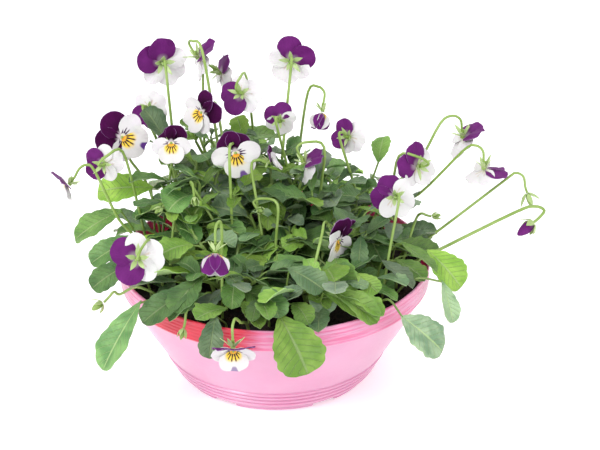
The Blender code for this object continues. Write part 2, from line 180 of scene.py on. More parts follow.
# %% Camera
AIM = Vector((0.0202, 0.0, 0.1242))
CAMERA_DISTANCE = 1.2
CAMERA_ELEVATION = math.radians(26.0)
SENSOR = 36.0
PICTURE_WIDTH = 600.0
FOCAL_LENGTH = 1498.0       # in the same units as the picture's width
lens = bpy.data.cameras.new("camera")
lens.sensor_width = SENSOR
lens.lens = SENSOR * FOCAL_LENGTH / PICTURE_WIDTH
camera = bpy.data.objects.new("camera", lens)
bpy.context.scene.collection.objects.link(camera)
away = Vector((0.0, -math.cos(CAMERA_ELEVATION), math.sin(CAMERA_ELEVATION)))
camera.location = AIM + away * CAMERA_DISTANCE
camera.rotation_euler = (-away).to_track_quat("-Z", "Y").to_euler()
bpy.context.scene.camera = camera
print("lens", round(lens.lens, 1), "mm")

# %% Lights and floor
def lamp(name, place, size, power, target=(0.0, 0.0, 0.12)):
    """One square area light that faces a target."""
    data = bpy.data.lights.new(name, "AREA")
    data.size = size
    data.energy = power
    made = bpy.data.objects.new(name, data)
    made.location = place
    facing = Vector(target) - Vector(place)
    made.rotation_euler = facing.to_track_quat("-Z", "Y").to_euler()
    bpy.context.scene.collection.objects.link(made)
    return made


lamp("key", (-0.9, -1.1, 1.3), 0.6, 15.0)
lamp("fill", (1.1, -0.9, 0.8), 0.9, 3.5)
lamp("back", (0.2, 1.3, 1.2), 1.0, 6.0)
lamp("low", (0.0, -1.4, 0.15), 0.8, 2.0, (0.0, 0.0, 0.06))

world = bpy.data.worlds.new("studio")
world.use_nodes = True
world.node_tree.nodes["Background"].inputs["Color"].default_value = (1.0, 1.0, 1.0, 1.0)
world.node_tree.nodes["Background"].inputs["Strength"].default_value = 1.0
bpy.context.scene.world = world
bpy.context.scene.view_settings.view_transform = "Standard"

deselect()
bpy.ops.mesh.primitive_plane_add(size=8.0, location=(0.0, 0.0, -0.0004))
floor = named(bpy.context.object, "floor")
white = bpy.data.materials.new("white_floor")
white.use_nodes = True
paper = white.node_tree.nodes["Principled BSDF"]
paper.inputs["Base Color"].default_value = (0.93, 0.93, 0.93, 1.0)
paper.inputs["Roughness"].default_value = 0.9
paper.inputs["Emission Color"].default_value = (1.0, 1.0, 1.0, 1.0)
paper.inputs["Emission Strength"].default_value = 0.3
floor.data.materials.append(white)
floor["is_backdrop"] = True

# %% [markdown]
# ## Node helpers
# A finish is a small graph of shader nodes. One helper makes a material and gives back its
# graph and its main shader. The others add a node, a piece of arithmetic, a blend of two
# colours or a bump, so that each finish below stays short enough to read.

# %% Node helpers
def new_material(name, roughness=0.5):
    """A material with its node graph and its main shader."""
    made = bpy.data.materials.new(name)
    made.use_nodes = True
    shader = made.node_tree.nodes["Principled BSDF"]
    shader.inputs["Roughness"].default_value = roughness
    return made, made.node_tree, shader


def add(graph, kind, feeds=None, **settings):
    """Add a node, set its properties, and feed its sockets from values or other sockets."""
    node = graph.nodes.new(kind)
    for key, value in settings.items():
        setattr(node, key, value)
    for key, value in (feeds or {}).items():
        if isinstance(value, bpy.types.NodeSocket):
            graph.links.new(value, node.inputs[key])
        else:
            node.inputs[key].default_value = value
    return node


def calc(graph, operation, first, second=0.0, third=0.0):
    """One step of arithmetic."""
    feeds = {0: first, 1: second, 2: third}
    return add(graph, "ShaderNodeMath", feeds, operation=operation).outputs[0]


def ramp(graph, value, low, high, start=0.0, end=1.0):
    """Carry a value from one range to another, clamped."""
    feeds = {"Value": value, "From Min": low, "From Max": high, "To Min": start, "To Max": end}
    return add(graph, "ShaderNodeMapRange", feeds, interpolation_type="SMOOTHSTEP").outputs[0]


def blend(graph, share, first, second, mode="MIX"):
    """Mix two colours; a plain colour is given as red, green and blue."""
    def full(colour):
        return colour if isinstance(colour, bpy.types.NodeSocket) else (*colour, 1.0)
    feeds = {0: share, 6: full(first), 7: full(second)}
    return add(graph, "ShaderNodeMix", feeds, data_type="RGBA", blend_type=mode).outputs[2]


def noise(graph, scale, detail=3.0, vector=None):
    """Soft noise in the piece's own coordinates."""
    if vector is None:
        vector = add(graph, "ShaderNodeTexCoord").outputs["Object"]
    feeds = {"Vector": vector, "Scale": scale, "Detail": detail}
    return add(graph, "ShaderNodeTexNoise", feeds).outputs[0]


def bumped(graph, shader, height, distance, strength=0.5):
    """Let a height pattern disturb the shading of the surface."""
    feeds = {"Height": height, "Distance": distance, "Strength": strength}
    graph.links.new(add(graph, "ShaderNodeBump", feeds).outputs[0], shader.inputs["Normal"])


def scatter(shader, weight, radius):
    """Let light spread under the surface, each colour by its own distance."""
    shader.inputs["Subsurface Weight"].default_value = weight
    shader.inputs["Subsurface Radius"].default_value = radius
    shader.inputs["Subsurface Scale"].default_value = 1.0


def across_and_along(graph):
    """The two coordinates of a piece's UV map: across the blade or petal, and along it."""
    split = add(graph, "ShaderNodeSeparateXYZ", {0: add(graph, "ShaderNodeUVMap").outputs[0]})
    return split.outputs[0], split.outputs[1]


def off_middle(graph, u):
    """How far a place is from the middle line: 0 on it, 1 at the edge."""
    return calc(graph, "ABSOLUTE", calc(graph, "MULTIPLY_ADD", u, 2.0, -1.0))


def attribute(graph, name):
    """Red, green and blue of a colour that was painted on the mesh."""
    colour = add(graph, "ShaderNodeAttribute", attribute_name=name).outputs["Color"]
    split = add(graph, "ShaderNodeSeparateColor", {0: colour})
    return split.outputs[0], split.outputs[1], split.outputs[2]


# %% [markdown]
# ## The bowl
# The real bowl is injection moulded: one thin wall of pink plastic with a straight band under
# the lip, a small step, a tapering body and a few fine rings pressed near the foot. A turned
# shape is quickest to make from its outline: a single corner is extruded along the profile,
# and the profile is spun once round the axis.

# %% Bowl sizes
RIM = 0.125
HEIGHT = 0.098
WALL = 0.0022
BAND = 0.0175
STEP = 0.0026
BASE = 0.080
FOOT = 0.0022
SOIL_TOP = HEIGHT - 0.014
low_corner, high_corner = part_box("bowl")
print("bowl", [round(high_corner[i] - low_corner[i], 4) for i in range(3)])


def body_radius(height):
    """Outer radius of the tapering body at a height."""
    shares = ((0.0, 0.0), (0.06, 0.08), (0.2, 0.21), (0.4, 0.42), (0.65, 0.69), (0.84, 0.87),
              (1.0, 1.0))
    t = (height - FOOT) / (HEIGHT - BAND - FOOT)
    for (h0, s0), (h1, s1) in zip(shares, shares[1:]):
        if t <= h1:
            s = s0 + (s1 - s0) * (t - h0) / (h1 - h0)
            return BASE + (RIM - STEP - BASE) * s
    return RIM - STEP


# %% Bowl outline
def ribbed_outside():
    """The body from the foot up, with four fine rings low down."""
    outline = []
    for i in range(4):
        z = 0.0058 + i * 0.0045
        outline += [(body_radius(z) - 0.0002, z), (body_radius(z) + 0.0013, z + 0.0005),
                    (body_radius(z + 0.0022) + 0.0009, z + 0.0022),
                    (body_radius(z + 0.0028) - 0.0002, z + 0.0030)]
    z = 0.026
    while z < HEIGHT - BAND - 0.002:
        outline.append((body_radius(z), z))
        z += 0.006
    return outline


def band_outside():
    """The step and the band under the lip, with faint moulded lines."""
    low = HEIGHT - BAND
    outline = [(RIM - STEP, low - 0.001), (RIM - STEP * 0.4, low - 0.0002), (RIM - 0.0003, low + 0.0007)]
    for i in range(5):
        z = low + 0.002 + i * 0.0028
        outline += [(RIM, z), (RIM - 0.00022, z + 0.0007), (RIM, z + 0.0014)]
    return outline + [(RIM, HEIGHT - 0.0009), (RIM - 0.0004, HEIGHT - 0.0002), (RIM - 0.0011, HEIGHT)]


def inside():
    """The inner wall from the lip down to the floor of the bowl."""
    low = HEIGHT - BAND
    outline = [(RIM - WALL + 0.0003, HEIGHT - 0.0003), (RIM - WALL, HEIGHT - 0.0012),
               (RIM - WALL, low + WALL), (RIM - STEP - WALL, low - WALL * 0.5)]
    for z in (0.068, 0.055, 0.04, 0.025, 0.012):
        outline.append((body_radius(z) - WALL, z + WALL * 0.6))
    return outline + [(BASE - WALL - 0.002, FOOT + WALL), (0.0, FOOT + WALL)]


def underside():
    """From the axis out over the pad and the channel to the base's rounded corner."""
    return [(0.0, 0.0), (0.0395, 0.0), (0.0402, 0.0006), (0.0404, FOOT), (BASE - 0.0015, FOOT),
            (BASE - 0.0002, FOOT + 0.0006), (BASE + 0.0006, FOOT + 0.002)]


BOWL_OUTLINE = underside() + ribbed_outside() + band_outside() + inside()
print("bowl outline", len(BOWL_OUTLINE), "corners")


# %% Spin the bowl
def spun(outline, name, steps=144):
    """Extrude one corner along an outline and spin the line round the Z axis."""
    deselect()
    bpy.ops.mesh.primitive_plane_add(size=0.001, location=(0.0, 0.0, 0.0))
    piece = bpy.context.object
    bpy.ops.object.mode_set(mode="EDIT")
    bpy.ops.mesh.select_all(action="SELECT")
    bpy.ops.mesh.merge(type="CENTER")
    here = (0.0, 0.0)
    first = True
    for radius, height in outline:
        shift = (radius - here[0], 0.0, height - here[1])
        if first:
            bpy.ops.transform.translate(value=shift)
        else:
            bpy.ops.mesh.extrude_region_move(TRANSFORM_OT_translate={"value": shift})
        here = (radius, height)
        first = False
    bpy.ops.mesh.select_all(action="SELECT")
    bpy.ops.mesh.spin(steps=steps, angle=math.tau, center=(0.0, 0.0, 0.0), axis=(0.0, 0.0, 1.0))
    bpy.ops.object.mode_set(mode="OBJECT")
    return outward(named(piece, name))


bowl = spun(BOWL_OUTLINE, "planter_bowl")
print("spun bowl", len(bowl.data.vertices), "corners")

# %% [markdown]
# Six short curved feet carry the bowl. Each one is a cube that is stretched along its arc: the
# cube is subdivided so that it can bend, and its corners are moved onto the circle of the foot.

# %% Feet and drain holes
FEET = 6
FOOT_IN = BASE - 0.007
FOOT_OUT = BASE - 0.0012
FOOT_SHARE = 0.76           # how much of its part of the circle a foot takes up
HOLE_RADIUS = 0.004
HOLE_REACH = 0.054          # from the bowl's axis to a drain hole


def curved_foot(number):
    """One foot bent along its part of the base circle."""
    deselect()
    bpy.ops.mesh.primitive_cube_add(size=1.0)
    piece = bpy.context.object
    bpy.ops.object.mode_set(mode="EDIT")
    bpy.ops.mesh.select_all(action="SELECT")
    bpy.ops.mesh.bevel(offset=0.06, segments=2)
    bpy.ops.mesh.select_all(action="SELECT")
    for cut in range(9):
        bpy.ops.mesh.select_all(action="SELECT")
        bpy.ops.mesh.bisect(plane_co=(-0.4 + 0.1 * cut, 0.0, 0.0), plane_no=(1.0, 0.0, 0.0))
    bpy.ops.object.mode_set(mode="OBJECT")
    middle = math.tau * (number + 0.5) / FEET
    for corner in piece.data.vertices:
        angle = middle + corner.co.x * math.tau / FEET * FOOT_SHARE
        radius = FOOT_IN + (corner.co.y + 0.5) * (FOOT_OUT - FOOT_IN)
        rise = (corner.co.z + 0.5) * (FOOT + WALL * 0.4)
        corner.co = (radius * math.cos(angle), radius * math.sin(angle), rise)
    return outward(named(piece, f"bowl_foot_{number + 1}"))


def drill(piece, number):
    """Cut one drain hole through the floor."""
    angle = math.tau * (number + 0.5) / FEET
    place = (HOLE_REACH * math.cos(angle), HOLE_REACH * math.sin(angle), FOOT)
    deselect()
    bpy.ops.mesh.primitive_cylinder_add(vertices=32, radius=HOLE_RADIUS, depth=0.012, location=place)
    cutter = bpy.context.object
    applied(piece, "BOOLEAN", operation="DIFFERENCE", solver="EXACT", object=cutter)
    bpy.data.objects.remove(cutter, do_unlink=True)


for hole in range(FEET):
    drill(bowl, hole)
bowl = joined([bowl] + [curved_foot(i) for i in range(FEET)], "planter_bowl")
smooth(bowl, 24.0)
print("bowl faces", len(bowl.data.polygons))


# %% [markdown]
# The plastic is a glossy, slightly see-through pink. Light that enters a thin coloured wall
# comes out paler, so the finish has some scatter under the surface. Faint cloudy streaks run
# round the band, as the coloured resin flowed in the mould, and fine scuffs break the gloss.

# %% Pink plastic
LEAF_SHADOW_SPOT = (-0.058, -0.108, 0.094)      # painted shadow: the band is painted deep red round this spot, where leaves shade it


def pink_plastic():
    """Moulded plastic with cloudy streaks, scuffs, soft scatter and a painted shadow on the band."""
    made, graph, shader = new_material("pink_plastic", 0.32)
    place = add(graph, "ShaderNodeTexCoord").outputs["Object"]
    flat = add(graph, "ShaderNodeMapping", {"Vector": place, "Scale": (1.0, 1.0, 16.0)}).outputs[0]
    streak = noise(graph, 26.0, 4.0, flat)
    cloud = noise(graph, 22.0, 3.0)
    height = add(graph, "ShaderNodeSeparateXYZ", {0: place}).outputs[2]
    on_band = ramp(graph, height, HEIGHT - BAND - 0.001, HEIGHT - BAND + 0.002)
    base = blend(graph, ramp(graph, cloud, 0.3, 0.7), (0.67, 0.325, 0.48), (0.64, 0.28, 0.44))
    band = blend(graph, ramp(graph, streak, 0.35, 0.66), (0.68, 0.135, 0.29), (0.69, 0.29, 0.46))
    # Painted shadow: near a fixed spot at the front left the band turns deep red, where leaves shade it.
    measure = add(graph, "ShaderNodeVectorMath", {0: place, 1: LEAF_SHADOW_SPOT}, operation="DISTANCE")
    side = measure.outputs["Value"]
    band_shadow = ramp(graph, calc(graph, "MULTIPLY_ADD", streak, 0.02, side), 0.045, 0.066, 1.0, 0.0)
    band = blend(graph, band_shadow, band, (0.60, 0.018, 0.05))
    graph.links.new(blend(graph, on_band, base, band), shader.inputs["Base Color"])
    scuff = noise(graph, 420.0, 6.0)
    graph.links.new(ramp(graph, scuff, 0.3, 0.75, 0.29, 0.37), shader.inputs["Roughness"])
    scatter(shader, 0.25, (0.012, 0.004, 0.006))
    shader.inputs["Coat Weight"].default_value = 0.25
    shader.inputs["Coat Roughness"].default_value = 0.15
    bumped(graph, shader, calc(graph, "ADD", streak, calc(graph, "MULTIPLY", scuff, 0.15)), 0.0003, 0.25)
    return made


bowl.data.materials.clear()
bowl.data.materials.append(pink_plastic())
handed(bowl, "bowl_plastic", "bowl")
print("bowl finish", bowl.data.materials[0].name)

# %% [markdown]
# ## The compost
# Moist peat compost is nearly black, lumpy, and full of short fibres and crumbs. The surface is
# a fine disc whose corners are lifted by layered noise, with a wall that runs down inside the
# bowl.

# %% Compost
def compost_height(x, y):
    """Uneven surface of the compost."""
    lump = waves.fractal(Vector((x * 55.0, y * 55.0, 1.3)), 0.8, 2.1, 4)
    return SOIL_TOP + 0.002 * (1.0 - (x * x + y * y) / 0.0141) + 0.0016 * lump


def compost_body():
    """A disc of fine squares with its rim pulled down to the floor of the bowl."""
    deselect()
    reach = RIM - STEP - WALL - 0.0006
    bpy.ops.mesh.primitive_grid_add(x_subdivisions=90, y_subdivisions=90, size=2.0)
    piece = bpy.context.object
    for corner in piece.data.vertices:
        u, v = corner.co.x, corner.co.y
        x = u * math.sqrt(1.0 - v * v / 2.0) * reach
        y = v * math.sqrt(1.0 - u * u / 2.0) * reach
        corner.co = (x, y, compost_height(x, y))
    bpy.ops.object.mode_set(mode="EDIT")
    bpy.ops.mesh.select_all(action="SELECT")
    bpy.ops.mesh.region_to_loop()
    last, last_share = SOIL_TOP, 1.0
    for height, share in ((0.05, 0.865), (0.02, 0.715), (0.0052, 0.63)):
        shift = (0.0, 0.0, height - last)
        bpy.ops.mesh.extrude_region_move(TRANSFORM_OT_translate={"value": shift})
        narrow = share / last_share
        level = 0.0 if height < 0.01 else 1.0        # the lowest ring is pressed flat
        bpy.ops.transform.resize(value=(narrow, narrow, level), center_override=(0.0, 0.0, height))
        last, last_share = height, share
    bpy.ops.mesh.edge_face_add()
    bpy.ops.object.mode_set(mode="OBJECT")
    return outward(named(piece, "compost_body"))


print("compost stands", round(compost_height(0.0, 0.0), 4), "m high at the middle")

# %% [markdown]
# Loose crumbs break up the smooth surface. One small rock is made, and its corners are copied
# into a single mesh hundreds of times, each copy squashed and turned by its own draw.

# %% Crumbs and compost finish
CRUMBS = 900
CRUMB_REACH = 0.116


def crumbs(count, seed):
    """Loose crumbs of compost, half sunk."""
    rng = random.Random(seed)
    deselect()
    bpy.ops.mesh.primitive_ico_sphere_add(subdivisions=1, radius=1.0)
    seedling = bpy.context.object
    shape = [corner.co.copy() for corner in seedling.data.vertices]
    faces = [tuple(face.vertices) for face in seedling.data.polygons]
    bpy.data.objects.remove(seedling, do_unlink=True)
    corners, sides = [], []
    for _ in range(count):
        reach = math.sqrt(rng.random()) * CRUMB_REACH
        turn = rng.uniform(0.0, math.tau)
        x, y = reach * math.cos(turn), reach * math.sin(turn)
        size = rng.uniform(0.0007, 0.0021)
        squash = Vector((rng.uniform(0.6, 1.5), rng.uniform(0.6, 1.3), rng.uniform(0.5, 0.9))) * size
        spin = Matrix.Rotation(rng.uniform(0.0, math.tau), 3, "Z")
        spin = spin @ Matrix.Rotation(rng.uniform(-0.7, 0.7), 3, "X")
        start = len(corners)
        place = Vector((x, y, compost_height(x, y) + size * 0.2))
        corners += [place + spin @ Vector((c.x * squash.x, c.y * squash.y, c.z * squash.z)) for c in shape]
        sides += [tuple(i + start for i in face) for face in faces]
    mesh = bpy.data.meshes.new("compost_crumbs")
    mesh.from_pydata(corners, [], sides)
    piece = bpy.data.objects.new("compost_crumbs", mesh)
    bpy.context.scene.collection.objects.link(piece)
    return piece


def compost_finish():
    """Nearly black earth with brown fibres and pale specks."""
    made, graph, shader = new_material("compost", 0.93)
    lump = noise(graph, 160.0, 8.0)
    grit = noise(graph, 900.0, 4.0)
    dark = blend(graph, ramp(graph, lump, 0.35, 0.7), (0.006, 0.004, 0.004), (0.035, 0.02, 0.013))
    speck = blend(graph, ramp(graph, grit, 0.66, 0.74), dark, (0.11, 0.07, 0.04))
    graph.links.new(speck, shader.inputs["Base Color"])
    bumped(graph, shader, calc(graph, "ADD", lump, calc(graph, "MULTIPLY", grit, 0.4)), 0.0012, 0.9)
    return made


compost = joined([compost_body(), crumbs(CRUMBS, 5)], "compost")
compost.data.materials.clear()
compost.data.materials.append(compost_finish())
smooth(compost, 50.0)
handed(compost, "compost", "soil")
print("compost faces", len(compost.data.polygons))

# %% [markdown]
# ## Where everything grows
# Every bloom, bud and outer leaf has its own place in the CAD model. The same layout is
# repeated here, in millimetres and degrees, because a flower needs to know which way it looks
# and not only where it is. Heights are above the rim.

# %% Layout of the flowers
# Blooms: centre, then turn, pitch and roll of the face, reach, cup, the stalk's foot as an
# angle and a distance, and how far the two upper and the three lower petals fold forwards.
BLOOMS = (
    (-92, 75, 137, 195, -5, 35, 23, -0.1, 146, 96, 0, 0),
    (-62, 82, 138, 105, -52, 0, 20, 0.1, 152, 40, -5, 45),
    (-45, 95, 121, 110, -20, 20, 17, 0.2, 126, 104, 0, 10),
    (13, 85, 135, 180, -8, -30, 21, -0.1, 90, 38, 0, 0),
    (-121, 20, 94, 12, 15, -72, 23, -0.1, 158, 102, -10, 0),
    (-133, -5, 82, 170, -10, 100, 17, 0.2, 172, 104, 0, 10),
    (-162, -12, 67, -70, -40, 10, 16, 0.2, 187, 104, 0, 30),
    (-81, 8, 94, -5, 22, -6, 18, 0.1, 163, 99, -38, 0),
    (-30, -5, 91, 5, 10, -12, 22, -0.1, 210, 38, -42, 0),
    (-58, 30, 111, -45, 0, 45, 19, 0.1, 150, 35, -20, 10),
    (-27, 55, 117, 160, -30, 120, 19, 0.1, 98, 100, 0, 20),
    (25, 15, 73, 98, -58, 0, 18, 0.2, 28, 38, 0, 45),
    (-42, -98, 51, 0, -66, 5, 18, 0.3, 245, 92, 45, 84),
    (-101, -85, 40, 188, -20, 103, 22, 0.0, 212, 100, 0, 0),
    (-28, -146, -3, 5, -60, 0, 19, 0.0, 260, 106, 0, 62),
    (50, -48, 37, 45, -28, 42, 21, 0.0, 284, 94, -5, 28),
    (95, 0, 51, 190, -20, 52, 20, 0.1, 330, 98, 28, 8),
    (114, 28, 66, -138, -12, 45, 20, 0.1, 20, 96, 0, -15),
    (153, 42, 84, 100, -74, 0, 20, 0.1, 28, 92, -14, 26),
    (168, 15, 68, 92, -78, 0, 19, 0.2, 34, 100, 18, 12),
    (38, 62, 98, -20, -62, 0, 15, 0.4, 82, 92, 50, 84),
    (60, 50, 82, 150, -20, 75, 16, 0.1, 30, 88, 0, 10),
)

# Buds and spent heads: tip, turn and pitch, length, thickness, foot angle and distance.
BUDS = (
    (193, -12, 23, -62, -28, 17, 11, 352, 104),
    (207, 14, 36, 80, -70, 12, 7, 8, 103),
    (-92, -36, 54, -40, -10, 8, 6, 206, 92),
    (-60, -36, 60, 10, -20, 9, 5, 226, 37),
    (-9, -38, 56, 20, 10, 8, 5, 270, 38),
    (133, 2, 34, 60, 20, 8, 5, 342, 102),
    (-67, -128, -5, -10, -30, 9, 6, 246, 106),
    (-139, -78, -8, -60, -20, 10, 7, 220, 106),
)

# %% Layout of the leaves
# Outer leaves: blade base, blade tip, width, arch, foot angle and distance, then tint (0 is
# yellow-green, 1 is blue-grey) and how far the blade is folded along its midrib, in degrees.
LEAVES = (
    (-123, 14, 33, -162, 8, 9, 26, 5, 172, 107, 0.35, 14),
    (-108, -26, 29, -143, -40, 12, 23, 5, 194, 104, 0.45, 20),
    (-98, 20, 50, -143, 20, 46, 28, 6, 164, 104, 0.0, 12),
    (-106, -48, 19, -140, -62, 2, 22, 5, 205, 107, 0.5, 22),
    (-99, -92, 8, -127, -120, -36, 28, 4, 226, 108, 0.6, 18),
    (-59, -92, 20, -96, -116, 2, 26, 5, 236, 102, 0.55, 20),
    (5, -118, 10, 26, -150, -21, 40, 6, 276, 106, 0.15, 12),
    (-42, -114, 8, -46, -140, -14, 20, 4, 250, 104, 0.75, 16),
    (-7, -92, 20, 5, -124, 11, 22, 4, 268, 94, 0.6, 18),
    (36, -92, 16, 79, -110, 1, 20, 5, 290, 98, 0.2, 16),
    (11, -80, 29, 38, -98, 20, 22, 5, 276, 84, 0.7, 14),
    (63, -70, 19, 79, -86, 11, 16, 3, 310, 92, 0.15, 18),
    (96, -98, -2, 127, -108, -27, 36, 4, 316, 107, 0.85, 12),
    (130, -54, 5, 139, -66, -26, 16, 3, 332, 108, 0.8, 18),
    (120, -30, 19, 146, -46, -6, 32, 4, 344, 106, 0.1, 10),
    (85, 60, 54, 90, 78, 70, 18, 2, 42, 92, 0.3, 14),
    (-86, 40, 76, -106, 50, 106, 24, 3, 140, 84, 0.75, 16),
    (81, 102, 22, 102, 132, -4, 28, 5, 52, 106, 0.35, 14),
    (5, 116, 24, 11, 150, 0, 28, 5, 88, 107, 0.2, 14),
    (-79, 102, 26, -106, 128, -2, 28, 5, 128, 108, 0.45, 14),
)

# Crowns: name, angle around the bowl, distance from its axis.
CROWNS = (
    ("crown_centre", 0, 0),
    ("crown_right", 0, 65),
    ("crown_back_right", 60, 65),
    ("crown_back_left", 120, 65),
    ("crown_left", 180, 65),
    ("crown_front_left", 240, 65),
    ("crown_front_right", 300, 65),
)
print(len(BLOOMS), "blooms,", len(BUDS), "buds")
print(len(LEAVES), "outer leaves,", len(CROWNS), "crowns")


# %% [markdown]
# The bends of a stalk follow one rule. It leaves the compost straight up, crosses over the rim
# if it has to, and then runs to the neck of its flower, bud or leaf. These helpers find the foot
# of a stalk, the way it takes, and a smooth curve through the points of that way.

# %% Stalk paths
UP = Vector((0.0, 0.0, 1.0))
RIM_CLEARANCE = 0.006
HOOK = 0.008
SUNK = 0.003                # how far a stalk's foot goes down into the compost
SOIL_REACH = 0.1198         # the compost is slightly domed and is level with its edge here


def placed(x, y, above_rim):
    """A layout position in metres."""
    return Vector((x * MM, y * MM, HEIGHT + above_rim * MM))


def foot(angle, distance):
    """Where a stalk leaves the compost."""
    a = math.radians(angle)
    reach = distance * MM
    crown_of_soil = 0.002 * (1.0 - (reach / SOIL_REACH) ** 2)
    return Vector((reach * math.cos(a), reach * math.sin(a), SOIL_TOP + crown_of_soil))


def heading(turn, pitch):
    """The direction faced after turning from the front and tilting upward."""
    a = math.radians(turn)
    p = math.radians(pitch)
    return Vector((math.sin(a) * math.cos(p), -math.cos(a) * math.cos(p), math.sin(p)))


def rise_to(root, end):
    """From the compost up to an end point, over the rim if the end is outside it."""
    below = Vector((0.0, 0.0, -SUNK))
    above = Vector((0.0, 0.0, 0.004))
    crossing = Vector((end.x - root.x, end.y - root.y, 0.0))
    way = Vector((root.x, root.y, 0.0))
    limit = RIM - WALL * 0.5
    if Vector((end.x, end.y)).length <= limit:
        middle = root.lerp(end, 0.5)
        middle.z = root.z * 0.42 + end.z * 0.58
        return [root + below, root + above, middle]
    share = 0.0
    while (way + crossing * share).length < limit:
        share += 0.02
    crest = way + crossing * share
    crest.z = max(end.z * share + root.z * (1.0 - share), HEIGHT + RIM_CLEARANCE)
    lead = way + crossing * (share * 0.35)
    lead.z = root.z * 0.35 + crest.z * 0.65
    return [root + below, root + above, lead, crest]


def smooth_path(line, steps=4):
    """A smooth curve through the points of a line."""
    ends = [line[0] * 2 - line[1]] + list(line) + [line[-1] * 2 - line[-2]]
    path = []
    for a, b, c, d in zip(ends, ends[1:], ends[2:], ends[3:]):
        for i in range(steps):
            t = i / steps
            path.append((b * 2 + (c - a) * t + (a * 2 - b * 5 + c * 4 - d) * t ** 2
                         + (b * 3 - a - c * 3 + d) * t ** 3) * 0.5)
    return path + [line[-1]]


print("compost starts", round(foot(0.0, 0.0).z - SOIL_TOP, 4), "m above its edge at the middle")

# %% [markdown]
# Stalks are curves with a round bevel. A curve is the natural tool for a thin, bending thing:
# its points carry a radius, so a stalk can be thicker at its foot. All the stalks of a piece
# are splines of one curve, which is turned into a mesh at the end.

# %% Stalks from curves
def stalks(paths, name, ridge=2):
    """Tubes along several paths. Each path is its points, its first radius and its last."""
    data = bpy.data.curves.new(name, "CURVE")
    data.dimensions = "3D"
    data.bevel_depth = 1.0
    data.bevel_resolution = ridge
    data.use_fill_caps = True
    for points, thick, thin in paths:
        spline = data.splines.new("POLY")
        spline.points.add(len(points) - 1)
        for i, point in enumerate(points):
            spline.points[i].co = (*point, 1.0)
            spline.points[i].radius = thick + (thin - thick) * i / (len(points) - 1)
    piece = bpy.data.objects.new(name, data)
    bpy.context.scene.collection.objects.link(piece)
    only(piece)
    bpy.ops.object.convert(target="MESH")
    return outward(named(bpy.context.object, name))


def painted(piece, colour):
    """Paint one colour on every corner of a mesh, for its material to read."""
    layer = piece.data.attributes.get("paint")
    if layer is None:
        layer = piece.data.attributes.new("paint", "FLOAT_COLOR", "POINT")
    layer.data.foreach_set("color", [float(c) for c in colour] * len(piece.data.vertices))
    return piece


# %% [markdown]
# ## Leaves
# A pansy's leaf is oval, with a few rounded teeth along each edge and a channel down its
# midrib. One flat blade is made from a grid: its rows are drawn in to the outline of the leaf,
# and a Solidify modifier gives it two faces. Every leaf is a copy of a blade that is laid along
# its own arching line, folded along the midrib and rippled at the edges.

# %% Blade templates
TEMPLATES = []


def half_width(v, base_power, tip_power, teeth, depth):
    """Half the width of a blade of width 1 at a share of its length."""
    peak = base_power / (base_power + tip_power)
    top = peak ** base_power * (1.0 - peak) ** tip_power
    plain = max(v, 0.0) ** base_power * max(1.0 - v, 0.0) ** tip_power / top
    return 0.5 * max(plain * (1.0 - depth + depth * abs(math.sin(math.pi * teeth * v))), 0.03)


def blade_template(name, across, along, base_power, tip_power, teeth, depth=0.13):
    """A flat thin blade: x from -0.5 to 0.5, y from 0 to 1, its two faces at z above and below."""
    deselect()
    bpy.ops.mesh.primitive_grid_add(x_subdivisions=across, y_subdivisions=along, size=2.0)
    piece = bpy.context.object
    for corner in piece.data.vertices:
        v = (corner.co.y + 1.0) * 0.5
        corner.co = (corner.co.x * half_width(v, base_power, tip_power, teeth, depth), v, 0.0)
    applied(piece, "SOLIDIFY", thickness=0.01, offset=0.0)
    painted(piece, (0.5, 0.5, 0.0, 1.0))
    piece.hide_render = True
    TEMPLATES.append(piece)
    return named(piece, name)


OVAL = blade_template("blade_oval", 8, 35, 0.90, 0.42, 6, 0.09)
LANCE = blade_template("blade_lance", 8, 35, 1.10, 0.50, 6, 0.07)
SMALL_OVAL = blade_template("blade_small_oval", 4, 15, 0.85, 0.48, 5)
SMALL_LANCE = blade_template("blade_small_lance", 4, 15, 1.0, 0.62, 5)
SMALL_ROUND = blade_template("blade_small_round", 4, 12, 0.62, 0.45, 4)
STIPULE = blade_template("stipule", 2, 6, 0.7, 0.9, 2, 0.0)
print("blade faces", len(OVAL.data.polygons), len(SMALL_OVAL.data.polygons))


# %% Laying a blade along its line
def copied(template, name):
    """A copy of a template with its own mesh."""
    piece = bpy.data.objects.new(name, template.data.copy())
    bpy.context.scene.collection.objects.link(piece)
    return named(piece, name)


OPEN_REACH = 0.113          # inside this reach there is only compost under a leaf
OVER_SOIL = 0.003
OVER_RIM = 0.0022
NO_FLOOR = -1.0


def floor_under(x, y):
    """The lowest height a blade may have here: above the compost, and above the rim."""
    reach = math.hypot(x, y)
    if reach < OPEN_REACH:
        return SOIL_TOP + OVER_SOIL
    return HEIGHT + OVER_RIM if reach < RIM + 0.003 else NO_FLOOR


